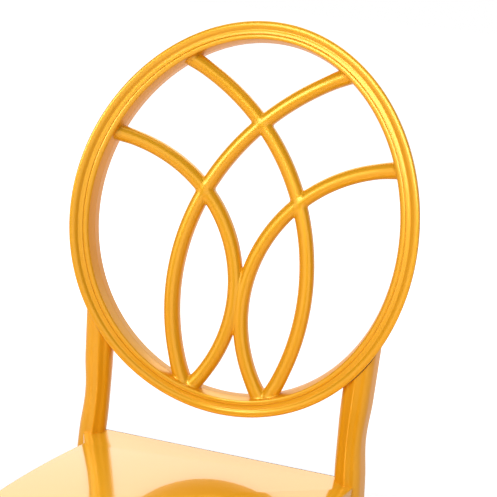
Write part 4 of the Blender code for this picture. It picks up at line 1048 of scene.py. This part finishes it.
def finish(skin, name, tone, deep_tone, gloss, metallic=0.0, mirror=0.5, edge=(1, 1, 1), coat=0.0,
           coat_roughness=0.04, coat_index=1.5, peel=0.0, wave=0.0):
    """A material of the moulded skin over a plain shader; edge tints what it mirrors at a slant."""
    material = bpy.data.materials.new(name)
    material.use_nodes = True
    tree = material.node_tree
    shader = tree.nodes["Principled BSDF"].inputs
    shader["Metallic"].default_value = metallic
    shader["Specular IOR Level"].default_value = mirror
    shader["Specular Tint"].default_value = (*edge, 1)
    shader["Coat Weight"].default_value = coat
    shader["Coat Roughness"].default_value = coat_roughness
    shader["Coat IOR"].default_value = coat_index
    group = add_node(tree, "ShaderNodeGroup", (-500, 0), node_tree=skin)
    for socket, value in (("Tone", (*tone, 1)), ("Deep Tone", (*deep_tone, 1)), ("Gloss", gloss),
                          ("Peel", peel * MM), ("Wave", wave * MM)):
        group.inputs[socket].default_value = value
    bump = add_node(tree, "ShaderNodeBump", (-250, -200),
                    {"Height": group.outputs["Height"], "Distance": 1.0})
    tree.links.new(group.outputs["Colour"], shader["Base Color"])
    tree.links.new(group.outputs["Roughness"], shader["Roughness"])
    tree.links.new(bump.outputs["Normal"], shader["Normal"])
    return material


def make_finishes():
    """The materials by the names that FINISHES gives them."""
    skin = moulded_skin_group()
    return {look: finish(skin, **values) for look, values in FINISHES.items()}


def dress_nodes(finishes):
    """Gives each node the finish of its material slot."""
    for part in frame["record"]["subparts"]:
        mesh = frame["nodes"][part["node"]].data
        mesh.materials.clear()
        mesh.materials.append(finishes[SLOT_FINISHES[part["material_slot"]]])


def make_camera():
    """The camera where the photograph's stood."""
    data = bpy.data.cameras.new("camera")
    data.lens = CAMERA_LENS
    data.sensor_width = CAMERA_SENSOR
    data.clip_start = CAMERA_NEAR
    camera = bpy.data.objects.new("camera", data)
    bpy.context.scene.collection.objects.link(camera)
    camera.location = CAMERA_PLACE
    camera.rotation_euler = Euler([math.radians(angle) for angle in CAMERA_TURN])
    bpy.context.scene.camera = camera


def ramp(tree, place, source, span):
    """A soft ramp: between the span's first two numbers it goes from the third to the fourth."""
    low, high, start, end = span
    limits = {"Value": source, "From Min": low, "From Max": high, "To Min": start, "To Max": end}
    node = add_node(tree, "ShaderNodeMapRange", place, limits, interpolation_type="SMOOTHSTEP")
    return node.outputs["Result"]


def larger(tree, place, first, second):
    """The larger of two values."""
    node = add_node(tree, "ShaderNodeMath", place, {0: first, 1: second}, operation="MAXIMUM")
    return node.outputs["Value"]


def make_world():
    """White to the camera, a backdrop in a dim room to what mirrors it, and a soft sky to all else."""
    world = bpy.data.worlds.new("surround")
    bpy.context.scene.world = world
    world.use_nodes = True
    tree = world.node_tree
    aim = add_node(tree, "ShaderNodeTexCoord", (-1100, 300)).outputs["Generated"]
    axes = add_node(tree, "ShaderNodeSeparateXYZ", (-900, 300), {"Vector": aim}).outputs
    drop = add_node(tree, "ShaderNodeMath", (-700, 400), {0: axes["Z"], 1: BACKDROP_FALL, 2: axes["Y"]},
                    operation="MULTIPLY_ADD")
    backdrop = ramp(tree, (-500, 400), drop.outputs["Value"], BACKDROP)
    sky = ramp(tree, (-500, 100), axes["Y"], SKY)
    path = add_node(tree, "ShaderNodeLightPath", (-700, -200)).outputs
    mirrored = larger(tree, (-500, -200), path["Is Glossy Ray"], path["Is Transmission Ray"])
    light = add_node(tree, "ShaderNodeMix", (-300, 0), {"Factor": mirrored, "A": sky, "B": backdrop},
                     data_type="FLOAT")
    seen = add_node(tree, "ShaderNodeMix", (-100, 0),
                    {"Factor": path["Is Camera Ray"], "A": light.outputs["Result"], "B": 1.0},
                    data_type="FLOAT")
    background = tree.nodes["Background"].inputs
    background["Color"].default_value = WHITE
    tree.links.new(seen.outputs["Result"], background["Strength"])


def make_floor():
    """A pale floor that keeps the shadow, glows with a warm painted reflection where the gold mirrors it
    and is clear from below.
    """
    bm = bmesh.new()
    bmesh.ops.create_grid(bm, x_segments=1, y_segments=1, size=FLOOR_HALF_SIZE)
    floor = helper("floor", new_mesh("floor", bm))
    material = bpy.data.materials.new("pale_floor")
    material.use_nodes = True
    tree = material.node_tree
    shader = tree.nodes["Principled BSDF"]
    shader.inputs["Base Color"].default_value = FLOOR_TONE
    shader.inputs["Roughness"].default_value = FLOOR_ROUGHNESS
    shader.inputs["Specular IOR Level"].default_value = 0.0
    spot = add_node(tree, "ShaderNodeTexCoord", (-1100, -300)).outputs["Object"]
    away = add_node(tree, "ShaderNodeVectorMath", (-900, -300), {"Vector": spot}, operation="LENGTH")
    spread = ramp(tree, (-700, -300), away.outputs["Value"], FLOOR_GLOW)
    path = add_node(tree, "ShaderNodeLightPath", (-1100, -600)).outputs
    mirrored = larger(tree, (-900, -600), path["Is Glossy Ray"], path["Is Transmission Ray"])
    seen = larger(tree, (-700, -600), path["Is Camera Ray"], mirrored)
    glow = add_node(tree, "ShaderNodeMath", (-300, -300), {0: seen, 1: spread}, operation="MULTIPLY")
    # Painted reflection: what mirrors the floor sees its glow in a warm tint, while the camera sees it
    # white
    painted_reflection_tint = add_node(tree, "ShaderNodeMix", (-300, -600),
                    {"Factor": path["Is Camera Ray"], "A": FLOOR_PAINTED_REFLECTION, "B": WHITE}, data_type="RGBA")
    tree.links.new(glow.outputs["Value"], shader.inputs["Emission Strength"])
    tree.links.new(painted_reflection_tint.outputs["Result"], shader.inputs["Emission Color"])
    side = add_node(tree, "ShaderNodeNewGeometry", (0, 300)).outputs["Backfacing"]
    clear = add_node(tree, "ShaderNodeBsdfTransparent", (0, -200)).outputs["BSDF"]
    both = add_node(tree, "ShaderNodeMixShader", (300, 200),
                    {0: side, 1: shader.outputs["BSDF"], 2: clear})
    tree.links.new(both.outputs["Shader"], tree.nodes["Material Output"].inputs["Surface"])
    floor.data.materials.append(material)


def make_lamps():
    """The soft lamps, each turned to what it lights."""
    for name, place, aim, size, power in LAMPS:
        data = bpy.data.lights.new(name, "AREA")
        data.shape = "RECTANGLE"
        data.size, data.size_y = size
        data.energy = power
        lamp = bpy.data.objects.new(name, data)
        bpy.context.scene.collection.objects.link(lamp)
        lamp.location = place
        lamp.rotation_euler = (Vector(aim) - Vector(place)).to_track_quat("-Z", "Y").to_euler()


def main():
    """Dresses the frame, adds the finer pieces and sets up camera and light."""
    finishes = make_finishes()
    dress_nodes(finishes)
    make_camera()
    make_ring(finishes["gold"])
    make_lattice(finishes["gold"])
    make_rear_legs(finishes["gold"])
    make_seat(finishes["seat"])
    make_front_legs(finishes["gold"])
    make_glides(finishes["nylon"])
    make_joint_hardware(finishes["zinc"])
    make_caps(finishes["gold"])
    make_world()
    make_floor()
    make_lamps()
    bpy.context.scene.view_settings.view_transform = "Standard"


main()
